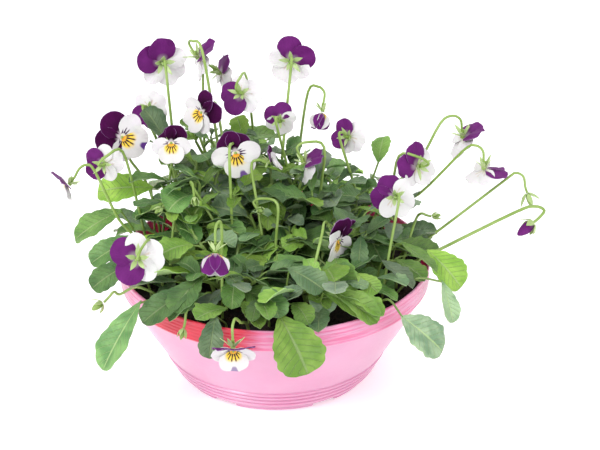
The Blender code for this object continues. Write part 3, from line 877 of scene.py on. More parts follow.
def bent_blade(template, name, base, tip, width, facing, shape, paint, thickness=0.0005):
    """Lay a blade from its base to its tip.

    The shape is its arch in metres, its fold in radians, its side curl and ripple as shares, its
    twist in radians and the phase of its ripple. It is lifted clear of the compost and the rim.
    """
    arch, fold, curl, ripple, twist, phase = shape
    piece = copied(template, name)
    middle = (base + tip) * 0.5 + facing * arch
    across = (tip - base).cross(facing).normalized()
    lifts = 0.0
    for corner in piece.data.vertices:
        u, v = corner.co.x, corner.co.y
        thick = thickness * (1.0 if corner.co.z > 0 else -1.0) * 0.5
        point = base * (1 - v) ** 2 + middle * (2 * v * (1 - v)) + tip * v ** 2
        course = ((middle - base) * (1 - v) + (tip - middle) * v).normalized()
        side = (across - course * across.dot(course)).normalized()
        side = Matrix.Rotation(twist * (v - 0.2), 3, course) @ side
        normal = side.cross(course)
        x = u * width
        lift = abs(x) * math.sin(fold) - curl * x * x / width * 4.0
        lift += ripple * width * (2 * abs(u)) ** 2 * math.sin(v * 15.0 + phase + (1.6 if u > 0 else 0.0))
        spot = point + side * (x * math.cos(fold)) + normal * (lift + thick)
        corner.co = spot
        lifts = max(lifts, (floor_under(spot.x, spot.y) + thick - spot.z) / max(v, 0.2))
    if lifts > 0.0:
        for corner, flat in zip(piece.data.vertices, template.data.vertices):
            corner.co.z += lifts * max(flat.co.y, 0.2)
    layer = piece.data.attributes["paint"]
    for i, flat in enumerate(template.data.vertices):
        layer.data[i].color = (paint[0], paint[1], 0.0 if flat.co.z > 0 else 1.0, 1.0)
    return piece


# %% [markdown]
# The leaf's finish is painted along its own coordinates, across and along the blade, so that
# the pale midrib and the side veins follow every bend. Old leaves are yellower and some are
# bluish: each leaf carries a painted tint that moves its colour between three greens. The
# underside is paler and duller.

# %% Leaf finish
def leaf_finish():
    """Veined leaf skin whose green follows the painted tint."""
    made, graph, shader = new_material("leaf_skin", 0.45)
    u, v = across_and_along(graph)
    tint, light, under = attribute(graph, "paint")
    off = off_middle(graph, u)
    midrib = ramp(graph, off, 0.02, 0.09, 1.0, 0.0)
    slant = calc(graph, "SUBTRACT", calc(graph, "MULTIPLY", v, 9.0), calc(graph, "MULTIPLY", off, 2.0))
    stripe = calc(graph, "ABSOLUTE", calc(graph, "SUBTRACT", calc(graph, "FRACT", slant), 0.5))
    vein = calc(graph, "MULTIPLY", ramp(graph, stripe, 0.0, 0.10, 1.0, 0.0),
                ramp(graph, off, 0.7, 1.0, 1.0, 0.0))
    patch = noise(graph, 70.0, 3.0)
    fine = noise(graph, 900.0, 3.0)
    yellow = blend(graph, ramp(graph, patch, 0.35, 0.65), (0.15, 0.29, 0.03), (0.24, 0.39, 0.06))
    green = blend(graph, ramp(graph, patch, 0.35, 0.65), (0.050, 0.125, 0.032), (0.10, 0.20, 0.055))
    grey = blend(graph, ramp(graph, patch, 0.35, 0.65), (0.105, 0.165, 0.105), (0.22, 0.28, 0.19))
    low = blend(graph, ramp(graph, tint, 0.0, 0.5), yellow, green)
    skin = blend(graph, ramp(graph, tint, 0.5, 1.0), low, grey)
    skin = blend(graph, calc(graph, "MULTIPLY", midrib, 0.55), skin, (0.26, 0.34, 0.15))
    skin = blend(graph, calc(graph, "MULTIPLY", vein, 0.38), skin, (0.25, 0.34, 0.15))
    skin = blend(graph, calc(graph, "MULTIPLY", under, 0.65), skin, (0.27, 0.36, 0.20))
    # The painted brightness scales the green: a random tone for most leaves, and painted light on the
    # leaves listed as catching the light.
    shade = ramp(graph, light, 0.0, 2.0, 0.66, 2.40)
    tone = add(graph, "ShaderNodeCombineXYZ", {0: shade, 1: shade, 2: shade}).outputs[0]
    graph.links.new(blend(graph, 1.0, skin, tone, "MULTIPLY"), shader.inputs["Base Color"])
    graph.links.new(ramp(graph, fine, 0.3, 0.7, 0.38, 0.58), shader.inputs["Roughness"])
    scatter(shader, 0.12, (0.0008, 0.0016, 0.0003))
    shader.inputs["Specular IOR Level"].default_value = 0.35
    relief = calc(graph, "SUBTRACT", calc(graph, "MULTIPLY", fine, 0.2),
                  calc(graph, "MAXIMUM", vein, midrib))
    relief = calc(graph, "ADD", relief, calc(graph, "MULTIPLY", noise(graph, 260.0, 2.0), 1.2))
    bumped(graph, shader, relief, 0.0006, 0.8)
    return made


LEAF_SKIN = leaf_finish()
print("leaf finish", LEAF_SKIN.name)

# %% [markdown]
# Stalks are a fresher, smoother green than the leaves. Their painted tint moves them from
# yellow-green to a dull green, and sepals are painted paler still.

# %% Stalk finish
def stalk_finish():
    """Fresh yellow-green stalk, darker in soft patches, with a faint fine bump."""
    made, graph, shader = new_material("stalk_skin", 0.42)
    tint, light = attribute(graph, "paint")[:2]
    patch = noise(graph, 60.0, 3.0)
    fine = noise(graph, 1200.0, 2.0)
    fresh = blend(graph, ramp(graph, patch, 0.35, 0.65), (0.21, 0.33, 0.06), (0.29, 0.42, 0.11))
    dull = blend(graph, ramp(graph, patch, 0.35, 0.65), (0.085, 0.14, 0.035), (0.14, 0.21, 0.06))
    pale = calc(graph, "MULTIPLY", ramp(graph, light, 0.6, 1.0), 0.75)
    skin = blend(graph, pale, blend(graph, tint, fresh, dull), (0.50, 0.62, 0.30))
    graph.links.new(skin, shader.inputs["Base Color"])
    graph.links.new(ramp(graph, fine, 0.3, 0.7, 0.34, 0.55), shader.inputs["Roughness"])
    scatter(shader, 0.12, (0.0008, 0.0014, 0.0003))
    bumped(graph, shader, fine, 0.0001, 0.3)
    return made


STALK_SKIN = stalk_finish()
for template in (OVAL, LANCE, SMALL_OVAL, SMALL_LANCE, SMALL_ROUND, STIPULE):
    template.data.materials.append(LEAF_SKIN)


def finished_stalks(paths, name, tint, ridge=2):
    """Stalks with their finish."""
    piece = painted(stalks(paths, name, ridge), (tint, 0.5, 0.0, 1.0))
    piece.data.materials.clear()
    piece.data.materials.append(STALK_SKIN)
    return piece


print("stalk finish", STALK_SKIN.name)

# %% [markdown]
# ## The outer leaves
# These are the leaves that show one by one around the bowl, so each has its own place, its own
# width and its own green. A leaf is its blade and its stalk, joined into one piece.

# %% Outer leaves
SLENDER = 0.5               # a leaf narrower than this share of its length is a lance
# Leaves that catch the light, and how bright each one is; the others draw their brightness.
BRIGHT_LEAVES = {1: 0.9, 2: 0.9, 3: 1.0, 5: 1.3, 13: 1.2, 14: 1.3, 15: 0.9, 16: 1.05}


def outer_leaf(number, spec):
    """One outer leaf with its stalk."""
    rng = random.Random(100 + number)
    bx, by, bh, tx, ty, th, width, arch, angle, distance, tint, fold = spec
    base, tip, root = placed(bx, by, bh), placed(tx, ty, th), foot(angle, distance)
    out = Vector((tip.x - base.x, tip.y - base.y, 0.0)).normalized()
    drop = (base.z - tip.z) / (tip - base).length
    facing = (UP + out * (0.3 + drop) - Vector((0.0, 0.9, 0.0)) * (base.y < 0.03)).normalized()
    template = LANCE if width / (tip - base).length / 1000.0 < SLENDER else OVAL
    shape = (arch * MM * rng.uniform(1.0, 1.5), math.radians(fold), rng.uniform(-0.04, 0.08),
             rng.uniform(0.02, 0.05), rng.uniform(-0.5, 0.5), rng.uniform(0.0, 6.0))
    blade = bent_blade(template, f"outer_leaf_{number:02d}", base, tip, width * MM, facing, shape,
                       (tint, BRIGHT_LEAVES.get(number, rng.uniform(0.35, 0.75))), 0.0006)
    path = smooth_path(rise_to(root, base) + [base + (tip - base) * 0.04])
    stalk = finished_stalks([(path, 0.0011, 0.0008)], "leaf_stalk", tint * 0.7)
    piece = smooth(joined([blade, stalk], f"outer_leaf_{number:02d}"), 50.0)
    return handed(piece, "leaf", f"leaf_{number:02d}")


for number, spec in enumerate(LEAVES, start=1):
    outer_leaf(number, spec)
print("outer leaves made")


# %% [markdown]
# ## The crowns of leaves
# Each plant is a tuft of soft stems with leaves all the way up. A new leaf stands about 137
# degrees round from the last one, the golden angle that most leafy plants keep, so no leaf
# shades the next. First come the stems: one in the middle of each plant and seven around it,
# as tall as the mound of foliage is over that place.

# %% Stems of a crown
GOLDEN = math.radians(137.5)
NODE_GAP = 0.0105           # length of stem between two leaves
BARE_STEM = 0.012           # length of stem below the first leaf
STEM_REACH = 104.0          # stems stay inside the wall, in millimetres from the bowl's axis
STEMS = 8


def mound(x, y):
    """How high the foliage reaches over a place, in millimetres above the rim."""
    left = 74.0 * math.exp(-((x + 70.0) ** 2 + (y - 45.0) ** 2) / 7200.0)
    middle = 24.0 * math.exp(-((x - 30.0) ** 2 + (y - 40.0) ** 2) / 5000.0)
    right = 14.0 * math.exp(-((x - 80.0) ** 2 + (y - 20.0) ** 2) / 3500.0)
    return 14.0 + left + middle + right


def crown_stems(rng, x, y, count):
    """Feet and tips of a crown's stems, in millimetres."""
    stems = []
    for i in range(count):
        turn = math.tau * (i + rng.uniform(-0.3, 0.3)) / count
        near, far = rng.uniform(4.0, 12.0), rng.uniform(22.0, 38.0)
        if i == 0:
            near, far = 3.0, 6.0
        tip_x, tip_y = x + far * math.cos(turn), y + far * math.sin(turn)
        reach = math.hypot(tip_x, tip_y)
        if reach > STEM_REACH:
            tip_x, tip_y = tip_x * STEM_REACH / reach, tip_y * STEM_REACH / reach
        height = max(mound(tip_x, tip_y) - rng.uniform(6.0, 16.0), 4.0)
        stems.append((x + near * math.cos(turn), y + near * math.sin(turn), tip_x, tip_y, height))
    return stems


print("foliage stands", round(mound(-70.0, 45.0)), "mm over the rim at the left, half way back")

# %% [markdown]
# Low leaves spread flat; young leaves at the tips are small and stand up. At the foot of a leaf
# a pansy has stipules, two or three narrow leaflets. Each plant also has a few large leaves that
# rise from the compost near the wall and lean out over the rim.

# %% Leaves, stipules and basal leaves
YOUNG = 0.8                 # the last fifth of a stem's leaves are young


def foliage_leaf(rng, name, node, azimuth, young, tint):
    """One leaf at a node of a stem: its stalk's path and its blade."""
    length = rng.uniform(19.0, 27.0) if young > YOUNG else rng.uniform(27.0, 47.0)
    rise = math.radians(rng.uniform(5.0, 45.0) if young > YOUNG else rng.uniform(-38.0, 18.0))
    petiole = (rng.uniform(9.0, 17.0) if young < YOUNG else rng.uniform(4.0, 7.0)) * MM
    out = Vector((math.cos(azimuth), math.sin(azimuth), 0.0))
    base = node + out * (petiole * 0.75) + UP * (petiole * 0.66)
    tip = base + (out * math.cos(rise) + UP * math.sin(rise)) * (length * MM)
    template = rng.choice((SMALL_OVAL, SMALL_OVAL, SMALL_LANCE, SMALL_ROUND))
    share = {SMALL_OVAL.name: 0.56, SMALL_LANCE.name: 0.42, SMALL_ROUND.name: 0.74}[template.name]
    if template == SMALL_ROUND:
        tip = base.lerp(tip, 0.78)
    facing = (UP * math.cos(rise) - out * math.sin(rise) + out * 0.35).normalized()
    shape = (rng.uniform(0.002, 0.006), math.radians(rng.uniform(8.0, 30.0)), rng.uniform(-0.08, 0.10),
             rng.uniform(0.02, 0.06), rng.uniform(-0.9, 0.9), rng.uniform(0.0, 6.0))
    blade = bent_blade(template, name, base, tip, length * share * MM, facing, shape,
                       (tint, rng.uniform(0.2, 1.15)))
    middle = node.lerp(base, 0.5) + UP * (petiole * 0.12)
    return blade, (smooth_path([node, middle, base + (tip - base) * 0.05], 3), 0.0008, 0.0006)


def stipules(rng, name, node, azimuth):
    """Two or three narrow leaflets at the foot of a leaf."""
    made = []
    for i in range(rng.choice((2, 3))):
        turn = azimuth + rng.uniform(-1.3, 1.3)
        out = Vector((math.cos(turn), math.sin(turn), rng.uniform(0.2, 1.2))).normalized()
        length = rng.uniform(8.0, 14.0) * MM
        shape = (0.001, 0.3, 0.1, 0.04, rng.uniform(-0.6, 0.6), rng.uniform(0.0, 6.0))
        made.append(bent_blade(STIPULE, f"{name}_{i}", node, node + out * length, length * 0.22,
                               (UP - out * out.z + out * 0.01).normalized(), shape, (0.15, 0.8), 0.0004))
    return made


def basal_leaf(rng, name, angle, tint):
    """A large leaf that rises from the compost near the wall and leans out over the rim."""
    turn = math.radians(angle)
    out = Vector((math.cos(turn), math.sin(turn), 0.0))
    root = foot(angle + rng.uniform(-8.0, 8.0), rng.uniform(76.0, 96.0))
    base = out * (rng.uniform(92.0, 106.0) * MM) + UP * (HEIGHT + rng.uniform(3.0, 16.0) * MM)
    length = rng.uniform(28.0, 40.0)
    swing = Matrix.Rotation(rng.uniform(-0.7, 0.7), 3, "Z") @ out
    rise = math.radians(rng.uniform(-25.0, 12.0))
    tip = base + (swing * math.cos(rise) + UP * math.sin(rise)) * (length * MM)
    facing = (UP * math.cos(rise) - swing * math.sin(rise) + swing * 0.35).normalized()
    template = rng.choice((SMALL_OVAL, SMALL_OVAL, SMALL_LANCE))
    shape = (rng.uniform(0.003, 0.007), math.radians(rng.uniform(8.0, 26.0)), rng.uniform(-0.08, 0.10),
             rng.uniform(0.02, 0.06), rng.uniform(-0.6, 0.6), rng.uniform(0.0, 6.0))
    blade = bent_blade(template, name, base, tip, length * rng.uniform(0.45, 0.62) * MM, facing, shape,
                       (tint, rng.uniform(0.2, 0.95)))
    line = [root - UP * SUNK, root + UP * 0.006, root.lerp(base, 0.6) + UP * 0.006,
            base + (tip - base) * 0.05]
    return blade, (smooth_path(line, 3), 0.0009, 0.0007)


# %% [markdown]
# A whole plant is made stem by stem. All its blades are joined into one piece, and all its stems
# and leaf stalks into a second, because they have different finishes.

# %% Crowns
BASAL_LEAVES = {"crown_right": 9, "crown_back_right": 10, "crown_back_left": 10, "crown_left": 10,
                "crown_front_left": 9, "crown_front_right": 5}


def crown(index, spec):
    """All the stems and leaves of one plant, as one piece of blades and one of stalks."""
    name, angle, distance = spec
    rng = random.Random(40 + index)
    x = distance * math.cos(math.radians(angle))
    y = distance * math.sin(math.radians(angle))
    blades, paths = [], []
    for s, (fx, fy, tx, ty, top) in enumerate(crown_stems(rng, x, y, STEMS)):
        root, tip = placed(fx, fy, -17.0), placed(tx, ty, top)
        bend = root.lerp(tip, 0.5) + UP * 0.006 + Vector((tx - fx, ty - fy, 0.0)) * (-0.12 * MM)
        line = smooth_path([root, bend, tip], 6)
        paths.append((line, 0.0019, 0.0011))
        length = (tip - root).length
        nodes = max(int((length - BARE_STEM) / NODE_GAP), 3)
        turn = rng.uniform(0.0, math.tau)
        old = rng.uniform(0.05, 0.75)
        for k in range(nodes + 2):
            share = min((BARE_STEM + NODE_GAP * k) / length, 1.0)
            spot = line[min(int(share * (len(line) - 1)), len(line) - 1)]
            young = k / (nodes + 1)
            tint = min(max(old + rng.uniform(-0.30, 0.40), 0.0), 1.0)
            blade, path = foliage_leaf(rng, f"blade_{s}_{k}", spot, turn + GOLDEN * k, young, tint)
            blades.append(blade)
            paths.append(path)
            if k % 2 and k > 1:
                blades += stipules(rng, f"stipule_{s}_{k}", spot, turn + GOLDEN * k)
    for k in range(BASAL_LEAVES.get(name, 0)):
        around = angle + (k + 0.5) * 60.0 / BASAL_LEAVES[name] - 30.0 + rng.uniform(-4.0, 4.0)
        blade, path = basal_leaf(rng, f"basal_{k}", around, rng.uniform(0.05, 0.9))
        blades.append(blade)
        paths.append(path)
    count = len(blades)
    leaves = smooth(joined(blades, f"{name}_leaves"), 50.0)
    stems = smooth(finished_stalks(paths, f"{name}_stems", 0.35, 1), 50.0)
    handed(leaves, "crown_leaf", name)
    handed(stems, "crown_leaf")
    print(name, count, "leaves")
    return count


total = sum(crown(index, spec) for index, spec in enumerate(CROWNS, start=1))
print("foliage leaves", total)

# %% [markdown]
# ## Petals
# A pansy has five petals in three sorts: two broad upper ones that overlap, two side ones, and
# one wide lip. Each sort is a grid whose rows fan out from a narrow claw to a rounded edge, so
# that its map coordinates run along the rays of the petal. A Solidify modifier gives it a back
# with a finish of its own.

# %% Petal finishes
def velvet(graph, scale=260.0):
    """Soft mottling of petal skin."""
    return noise(graph, scale, 4.0)


def petal_skin(name, colour, roughness=0.6, gloss=0.3):
    """A petal's main shader with its fine grooves along the rays."""
    made, graph, shader = new_material(name, roughness)
    u, v = across_and_along(graph)
    ray = calc(graph, "SINE", calc(graph, "MULTIPLY", u, 95.0))
    groove = calc(graph, "MULTIPLY", calc(graph, "MULTIPLY", ray, v), 0.4)
    graph.links.new(colour(graph, u, v), shader.inputs["Base Color"])
    bumped(graph, shader, calc(graph, "ADD", groove, velvet(graph, 700.0)), 0.00025, 0.4)
    scatter(shader, 0.15, (0.0016, 0.0010, 0.0016))
    shader.inputs["Specular IOR Level"].default_value = gloss
    return made


def whiskers(graph, u, v, count, start, end):
    """Dark rays that spread from the claw and fade out along the petal."""
    turns = calc(graph, "MULTIPLY_ADD", u, math.tau * count, math.pi * (count + 1))
    wave = calc(graph, "COSINE", turns)
    wobble = calc(graph, "MULTIPLY_ADD", velvet(graph, 500.0), 0.5, -0.25)
    blotch = ramp(graph, v, start + 0.06, start + 0.20, 1.2, 0.0)
    line = ramp(graph, calc(graph, "ADD", calc(graph, "ADD", wave, wobble), blotch), 0.15, 0.6)
    middle = off_middle(graph, u)
    reach = calc(graph, "MULTIPLY_ADD", calc(graph, "POWER", middle, 1.5), -0.25, end)
    fade = ramp(graph, calc(graph, "SUBTRACT", v, reach), -0.10, 0.02, 1.0, 0.0)
    begun = ramp(graph, v, start, start + 0.05)
    return calc(graph, "MULTIPLY", calc(graph, "MULTIPLY", line, fade), begun)


# %% [markdown]
# Each face of a petal has its own colours. The upper petals are velvety purple in front and
# duller behind. The lower ones are white, and the lip carries the yellow eye and the whiskers.

# %% Petal colours
def purple_front(graph, u, v):
    """Velvety dark purple, nearly black by the claw, with a thin pale edge."""
    tint = attribute(graph, "paint")[0]
    soft = velvet(graph, 120.0)
    deep = blend(graph, soft, (0.010, 0.0006, 0.007), (0.024, 0.001, 0.017))
    bright = blend(graph, soft, (0.034, 0.002, 0.028), (0.065, 0.003, 0.058))
    body = blend(graph, ramp(graph, calc(graph, "MULTIPLY_ADD", tint, 0.5, v), 0.35, 1.15), deep, bright)
    body = blend(graph, ramp(graph, v, 0.12, 0.30, 0.75, 0.0), body, (0.70, 0.62, 0.66))
    return blend(graph, ramp(graph, v, 0.965, 1.0, 0.0, 0.5), body, (0.40, 0.22, 0.48))


def purple_back(graph, u, v):
    """The duller, lighter back of a purple petal, pale along its claw."""
    soft = velvet(graph, 120.0)
    body = blend(graph, soft, (0.085, 0.006, 0.095), (0.16, 0.018, 0.175))
    return blend(graph, ramp(graph, v, 0.10, 0.42, 0.65, 0.0), body, (0.62, 0.52, 0.60))


def white_side(graph, u, v):
    """White petal with short dark whiskers and a breath of lilac."""
    body = blend(graph, velvet(graph, 90.0), (0.66, 0.65, 0.63), (0.58, 0.55, 0.60))
    body = blend(graph, ramp(graph, v, 0.02, 0.22, 0.6, 0.0), body, (0.72, 0.66, 0.30))
    return blend(graph, whiskers(graph, u, v, 6.0, 0.14, 0.46), body, (0.045, 0.012, 0.055))


def white_lip(graph, u, v):
    """White lip with a yellow throat, an orange eye and long whiskers; some have a purple tip."""
    body = blend(graph, velvet(graph, 90.0), (0.68, 0.67, 0.64), (0.61, 0.58, 0.61))
    yellow = ramp(graph, calc(graph, "MULTIPLY_ADD", velvet(graph, 300.0), 0.12, v), 0.44, 0.68, 1.0, 0.0)
    body = blend(graph, yellow, body, (0.80, 0.56, 0.05))
    body = blend(graph, ramp(graph, v, 0.06, 0.24, 1.0, 0.0), body, (0.80, 0.30, 0.02))
    body = blend(graph, whiskers(graph, u, v, 7.0, 0.14, 0.56), body, (0.040, 0.006, 0.012))
    tint = attribute(graph, "paint")[0]
    middle = off_middle(graph, u)
    tip = calc(graph, "MULTIPLY", ramp(graph, v, 0.72, 0.84),
               ramp(graph, calc(graph, "MULTIPLY_ADD", v, -0.22, middle), -0.12, -0.06, 1.0, 0.0))
    marked = calc(graph, "MULTIPLY", tip, ramp(graph, tint, 0.45, 0.55))
    return blend(graph, marked, body, (0.09, 0.02, 0.20))


def white_back(graph, u, v):
    """The back of a white petal: greenish by the claw and slightly lilac."""
    body = blend(graph, velvet(graph, 90.0), (0.74, 0.73, 0.72), (0.66, 0.63, 0.68))
    faint = calc(graph, "MULTIPLY", whiskers(graph, u, v, 5.0, 0.10, 0.55), 0.45)
    body = blend(graph, faint, body, (0.50, 0.36, 0.22))
    return blend(graph, ramp(graph, v, 0.05, 0.40, 0.6, 0.0), body, (0.62, 0.66, 0.36))


PURPLE_FRONT = petal_skin("petal_purple_front", purple_front, 0.7, 0.06)
PURPLE_BACK = petal_skin("petal_purple_back", purple_back, 0.6, 0.12)
SIDE_FRONT = petal_skin("petal_white_side", white_side)
LIP_FRONT = petal_skin("petal_white_lip", white_lip)
WHITE_BACK = petal_skin("petal_white_back", white_back)
print("petal finishes", sum(skin.name.startswith("petal_") for skin in bpy.data.materials))

# %% Petal templates
def petal_template(name, wide, centre, spread, notch, front, back):
    """A flat petal of length 1 along y: rows fan from the claw to an elliptical edge."""
    deselect()
    bpy.ops.mesh.primitive_grid_add(x_subdivisions=14, y_subdivisions=8, size=2.0)
    piece = bpy.context.object
    for corner in piece.data.vertices:
        share, along = corner.co.x, (corner.co.y + 1.0) * 0.5
        swing = share * spread * math.pi
        edge_x = wide * math.sin(swing)
        edge_y = centre + (1.0 - centre) * math.cos(swing) - notch * math.exp(-(share / 0.14) ** 2)
        claw = share * 0.05
        corner.co = (claw + (edge_x - claw) * along, edge_y * along, 0.0)
    piece.data.materials.append(front)
    piece.data.materials.append(back)
    applied(piece, "SOLIDIFY", thickness=0.01, offset=0.0, use_flip_normals=False, material_offset=1)
    painted(piece, (0.5, 0.5, 0.0, 1.0))
    piece.hide_render = True
    TEMPLATES.append(piece)
    return named(piece, name)


UPPER = petal_template("petal_upper", 0.50, 0.50, 0.70, 0.02, PURPLE_FRONT, PURPLE_BACK)
SIDE = petal_template("petal_side", 0.42, 0.52, 0.70, 0.0, SIDE_FRONT, WHITE_BACK)
LIP = petal_template("petal_lip", 0.60, 0.48, 0.66, 0.10, LIP_FRONT, WHITE_BACK)
SEPAL = blade_template("sepal", 3, 7, 0.7, 1.1, 2, 0.0)
SEPAL.data.materials.append(STALK_SKIN)
print("petal faces", len(LIP.data.polygons))

# Each petal: template, direction round the face, reach, and how far it lies in front.
PETALS = (
    (UPPER, 55.0, 1.00, -0.060), (UPPER, 128.0, 1.00, -0.085), (SIDE, -14.0, 0.90, 0.0),
    (SIDE, 194.0, 0.90, -0.010), (LIP, 270.0, 0.96, 0.055),
)


# %% [markdown]
# A petal is laid into its flower by its direction round the face. It curves with the flower's
# cup, its edge ruffles a little, and each flower draws its own ruffles. Two angles move a whole
# petal: a fold takes it forwards, and a droop hangs it down, as the side petals of a nodding
# flower do. Behind the petals sit five green sepals.

# %% Laying petals and sepals
WANDER = 9.0                # how far a petal strays round the face, in degrees
WAVER = 6.0                 # how far its fold strays
PETAL_HALF = 0.00022        # half a petal's thickness


def bloom_frame(turn, pitch, roll):
    """Facing, sideways and upward directions of a flower."""
    face = heading(turn, pitch)
    up = (UP - face * face.z).normalized()
    up = Matrix.Rotation(math.radians(-roll), 3, face) @ up
    return face, up.cross(face), up


def laid_petal(template, name, centre, frame, direction, reach, front, cup, bend, rng, tint):
    """One petal in its place on a flower, folded forwards and drooping by two angles."""
    fold, droop = bend
    face, side, up = frame
    piece = copied(template, name)
    a = math.radians(direction + rng.uniform(-WANDER, WANDER))
    out = side * math.cos(a) + up * math.sin(a)
    lateral = up * math.cos(a) - side * math.sin(a)
    lean = math.radians(fold + rng.uniform(-WAVER, WAVER))
    out, face = (out * math.cos(lean) + face * math.sin(lean),
                 face * math.cos(lean) - out * math.sin(lean))
    drooped = Matrix.Rotation(-math.radians(droop), 3, side)
    out, face, lateral = drooped @ out, drooped @ face, drooped @ lateral
    wave, phase = rng.uniform(0.035, 0.075), rng.uniform(0.0, math.tau)
    tilt, roll = rng.uniform(-0.10, 0.10), rng.uniform(-0.12, 0.12)
    layer = piece.data.attributes["paint"]
    for i, corner in enumerate(piece.data.vertices):
        px, py = corner.co.x, corner.co.y
        thick = PETAL_HALF if corner.co.z > 0 else -PETAL_HALF
        radius = math.hypot(px, py)
        edge = radius ** 3
        rise = cup * radius * radius + front * min(py * 3.0, 1.0) + tilt * radius ** 2 + roll * px
        rise += wave * edge * math.sin(px * 11.0 + phase) - 0.05 * edge + 0.10 * px * px
        spot = centre + (lateral * px + out * py + face * rise) * reach
        corner.co = spot + face * thick
        layer.data[i].color = (tint, rng.random() * 0.1 + 0.5, 0.0, 1.0)
    return piece


def laid_sepal(name, centre, frame, direction, length, rng):
    """One green sepal behind the petals, pointing out and back."""
    face, side, up = frame
    a = math.radians(direction)
    out = side * math.cos(a) + up * math.sin(a)
    base = centre - face * 0.0022 + out * 0.0012
    away = (out * 0.75 - face * rng.uniform(0.35, 1.1)).normalized()
    tip = base + away * length * rng.uniform(0.75, 1.05)
    facing = (face + out * 0.3).normalized()
    shape = (-0.0008, 0.25, 0.1, 0.02, rng.uniform(-0.3, 0.3), rng.uniform(0.0, 6.0))
    return bent_blade(SEPAL, name, base, tip, length * 0.30, facing, shape, (0.0, 1.0), 0.0004)


# %% [markdown]
# The neck of a flower depends on how it is held. An upright flower has a short hook behind it. A
# nodding one, or one that looks towards its own foot, has a neck that arches up and over. Both
# are lists of points, counted in hooks: back from the face, over towards the foot, and up.

# %% Necks
NODDING = -0.4              # a face that points down more than this is nodding
LOOKS_BACK = 0.5            # a face that points at its own foot more than this looks back
SHORT_HOOK = ((0.3, 0.0, 0.0), (0.85, 0.0, 0.2), (1.5, 0.0, 0.45), (2.1, 0.0, -0.2))
ARCHED_NECK = ((0.3, 0.0, 0.0), (1.0, 0.0, 0.0), (1.7, 0.0, 0.4), (1.5, 0.9, 1.0), (0.7, 2.3, 0.9))


def neck_path(centre, face, root):
    """From the back of the flower over its neck and down into the compost."""
    toward = Vector((root.x - centre.x, root.y - centre.y, 0.0)).normalized()
    arched = face.z < NODDING or face.dot(toward) > LOOKS_BACK
    bends = [centre - face * (HOOK * back) + toward * (HOOK * over) + UP * (HOOK * rise)
             for back, over, rise in (ARCHED_NECK if arched else SHORT_HOOK)]
    lower = rise_to(root, bends[-1])
    lower.reverse()
    return smooth_path(bends + lower)


# %% [markdown]
# A whole flower is two pieces: its petals, and its stalk with the sepals, the short spur behind
# the face and the small yellow-green eye in front. The lower petals of a nodding flower hang
# down, and in a half-shut flower all five fold together.

# %% Flowers
HALF_SHUT = 30              # an upper fold above this means a half-shut flower, in degrees
SIDE_FOLD = 0.2             # how far the side petals of an open flower follow the lip's fold
SIDE_DROOP = 0.6            # how far they hang down instead


def flower(label, spec, nodes):
    """One open flower: five petals, eye, calyx, spur and stalk."""
    x, y, h, turn, pitch, roll, reach, cup, angle, distance, upper_fold, lower_fold = spec
    rng = random.Random(700 + int(label))
    centre = placed(x, y, h)
    frame = bloom_frame(turn, pitch, roll)
    face, up = frame[0], frame[2]
    tint = rng.uniform(0.0, 1.0)
    size = reach * MM
    closing = upper_fold > HALF_SHUT
    upper = (upper_fold, 0.0)
    side = (lower_fold, 0.0) if closing else (lower_fold * SIDE_FOLD, lower_fold * SIDE_DROOP)
    bends = (upper, upper, side, side, (lower_fold, 0.0))
    parts = []
    for i, (template, direction, share, front) in enumerate(PETALS):
        parts.append(laid_petal(template, f"petal_{i}", centre, frame, direction, size * share, front,
                                cup, bends[i], rng, tint))
    petals = smooth(joined(parts, f"flower_{label}_petals"), 60.0)
    handed(petals, "bloom", *nodes)
    sepals = [laid_sepal(f"sepal_{i}", centre, frame, 54.0 + 72.0 * i, size * 0.58, rng)
              for i in range(5)]
    root = foot(angle, distance)
    spur = [centre - face * 0.001 - up * 0.001, centre - face * 0.004 - up * 0.001,
            centre - face * 0.0075 + up * 0.0012]
    eye = [centre + face * 0.0002, centre + face * 0.0017 + up * 0.0006]
    tubes = [(neck_path(centre, face, root), 0.00095, 0.00125), (smooth_path(spur), 0.0019, 0.0011),
             (smooth_path(eye, 2), 0.0012, 0.0006)]
    stem = finished_stalks(tubes, "stem", 0.0)
    stem = smooth(joined([stem] + sepals, f"flower_{label}_stalk"), 55.0)
    return handed(stem, "bloom")


for number, spec in enumerate(BLOOMS, start=1):
    flower(f"{number:02d}", spec, [f"bloom_{number:02d}"])
print("flowers made")

# %% [markdown]
# Three more small flowers are only glimpsed between the others. They sit inside the space of
# the crowns, so they have no solid of their own in the CAD model.

# %% Flowers half hidden in the foliage
HIDDEN_BLOOMS = (
    (-2, -6, 86, 90, 20, 0, 12, 0.3, 260, 30, 0, 10),
    (-103, 66, 100, 170, -15, 160, 17, 0.1, 140, 92, 0, 20),
    (4, 52, 96, 170, -15, 20, 15, 0.2, 70, 60, 0, 20),
)
for number, spec in enumerate(HIDDEN_BLOOMS, start=len(BLOOMS) + 1):
    flower(f"{number:02d}", spec, [])
print("hidden flowers", len(HIDDEN_BLOOMS))

# %% [markdown]
# ## Buds and spent heads
# A bud is a pointed twist of petals held by green sepals. A head that has finished flowering is
# only its sepals, spread round the seed pod. The twist is a small ball drawn out to a point,
# with a few spiral creases pushed into it. Three sorts are told apart by a small table: a fat
# bud that already shows its purple petals, shut green buds, and spent heads.

# %% Buds
FAT_BUD = 1
SPENT_HEADS = (2, 8)
# Each sort: finish, share of its width, how pointed it is, how far its sepals lean out, how
# much of their length they keep, and the thickness of its stalk.
BUD_SORTS = {
    "fat": (PURPLE_BACK, 0.85, 0.35, 0.75, 0.7, 0.0012),
    "shut": (STALK_SKIN, 0.85, 0.7, 0.28, 1.0, 0.001),
    "spent": (STALK_SKIN, 0.7, 0.15, 0.9, 1.0, 0.001),
}


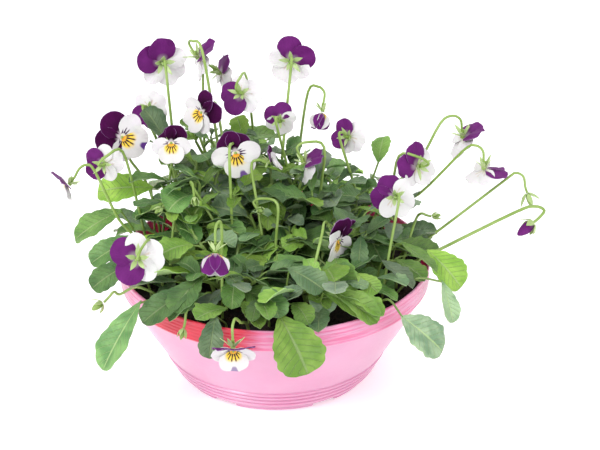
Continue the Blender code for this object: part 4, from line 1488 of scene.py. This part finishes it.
def bud_body(name, tip, face, length, thick, material, pointed):
    """A drawn-out ball with spiral creases."""
    deselect()
    bpy.ops.mesh.primitive_uv_sphere_add(segments=20, ring_count=14, radius=1.0)
    piece = bpy.context.object
    across = face.orthogonal().normalized()
    other = face.cross(across)
    for corner in piece.data.vertices:
        along = (corner.co.z + 1.0) * 0.5
        turn = math.atan2(corner.co.y, corner.co.x) + along * 1.8
        girth = math.hypot(corner.co.x, corner.co.y) * (1.0 - pointed * along ** 2)
        girth *= 1.0 + 0.07 * math.cos(turn * 5.0)
        spot = tip - face * (length * (1.0 - along))
        corner.co = spot + (across * math.cos(turn) + other * math.sin(turn)) * (girth * thick * 0.5)
    painted(piece, (0.3, 0.5, 0.0, 1.0))
    piece.data.materials.append(material)
    return outward(named(piece, name))


def bud(number, spec):
    """One bud or spent head on its stalk."""
    x, y, h, turn, pitch, length, thick, angle, distance = spec
    rng = random.Random(300 + number)
    tip, face, size = placed(x, y, h), heading(turn, pitch), length * MM
    neck = tip - face * size
    path = neck_path(neck + face * (size * 0.15), face, foot(angle, distance))
    sort = "fat" if number == FAT_BUD else "spent" if number in SPENT_HEADS else "shut"
    material, girth, pointed, lean, kept, thickness = BUD_SORTS[sort]
    body = bud_body("body", tip, face, size, thick * MM * girth, material, pointed)
    across = face.orthogonal().normalized()
    other = face.cross(across)
    sepals = []
    for i in range(5):
        a = math.radians(72.0 * i + 20.0)
        out = across * math.cos(a) + other * math.sin(a)
        base = neck + out * (thick * MM * 0.2)
        point = base + (face + out * lean).normalized() * size * rng.uniform(0.75, 0.95) * kept
        bulge = (0.0012, 0.3, 0.1, 0.02, 0.0, 0.0)
        sepals.append(bent_blade(SEPAL, f"sepal_{i}", base, point, size * 0.34, out, bulge,
                                 (0.1, 0.85), 0.0004))
    stem = finished_stalks([(path, thickness, thickness * 1.15)], "stem", 0.1)
    piece = smooth(joined([stem, body] + sepals, f"flower_bud_{number:02d}"), 55.0)
    return handed(piece, "bud", f"bud_{number:02d}")


for number, spec in enumerate(BUDS, start=1):
    bud(number, spec)
print("buds made")

# %% [markdown]
# ## Finish
# The templates have done their work and are removed. The script keeps the size of the CAD model
# and of the visual model side by side.

# %% Sizes and finish
for template in TEMPLATES:
    bpy.data.objects.remove(template, do_unlink=True)
visual_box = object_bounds()
for axis in range(3):
    low_high = [[round(box[i][axis], 4) for i in range(2)] for box in (CAD_BOX, visual_box)]
    print("xyz"[axis], "CAD and visual", *low_high)
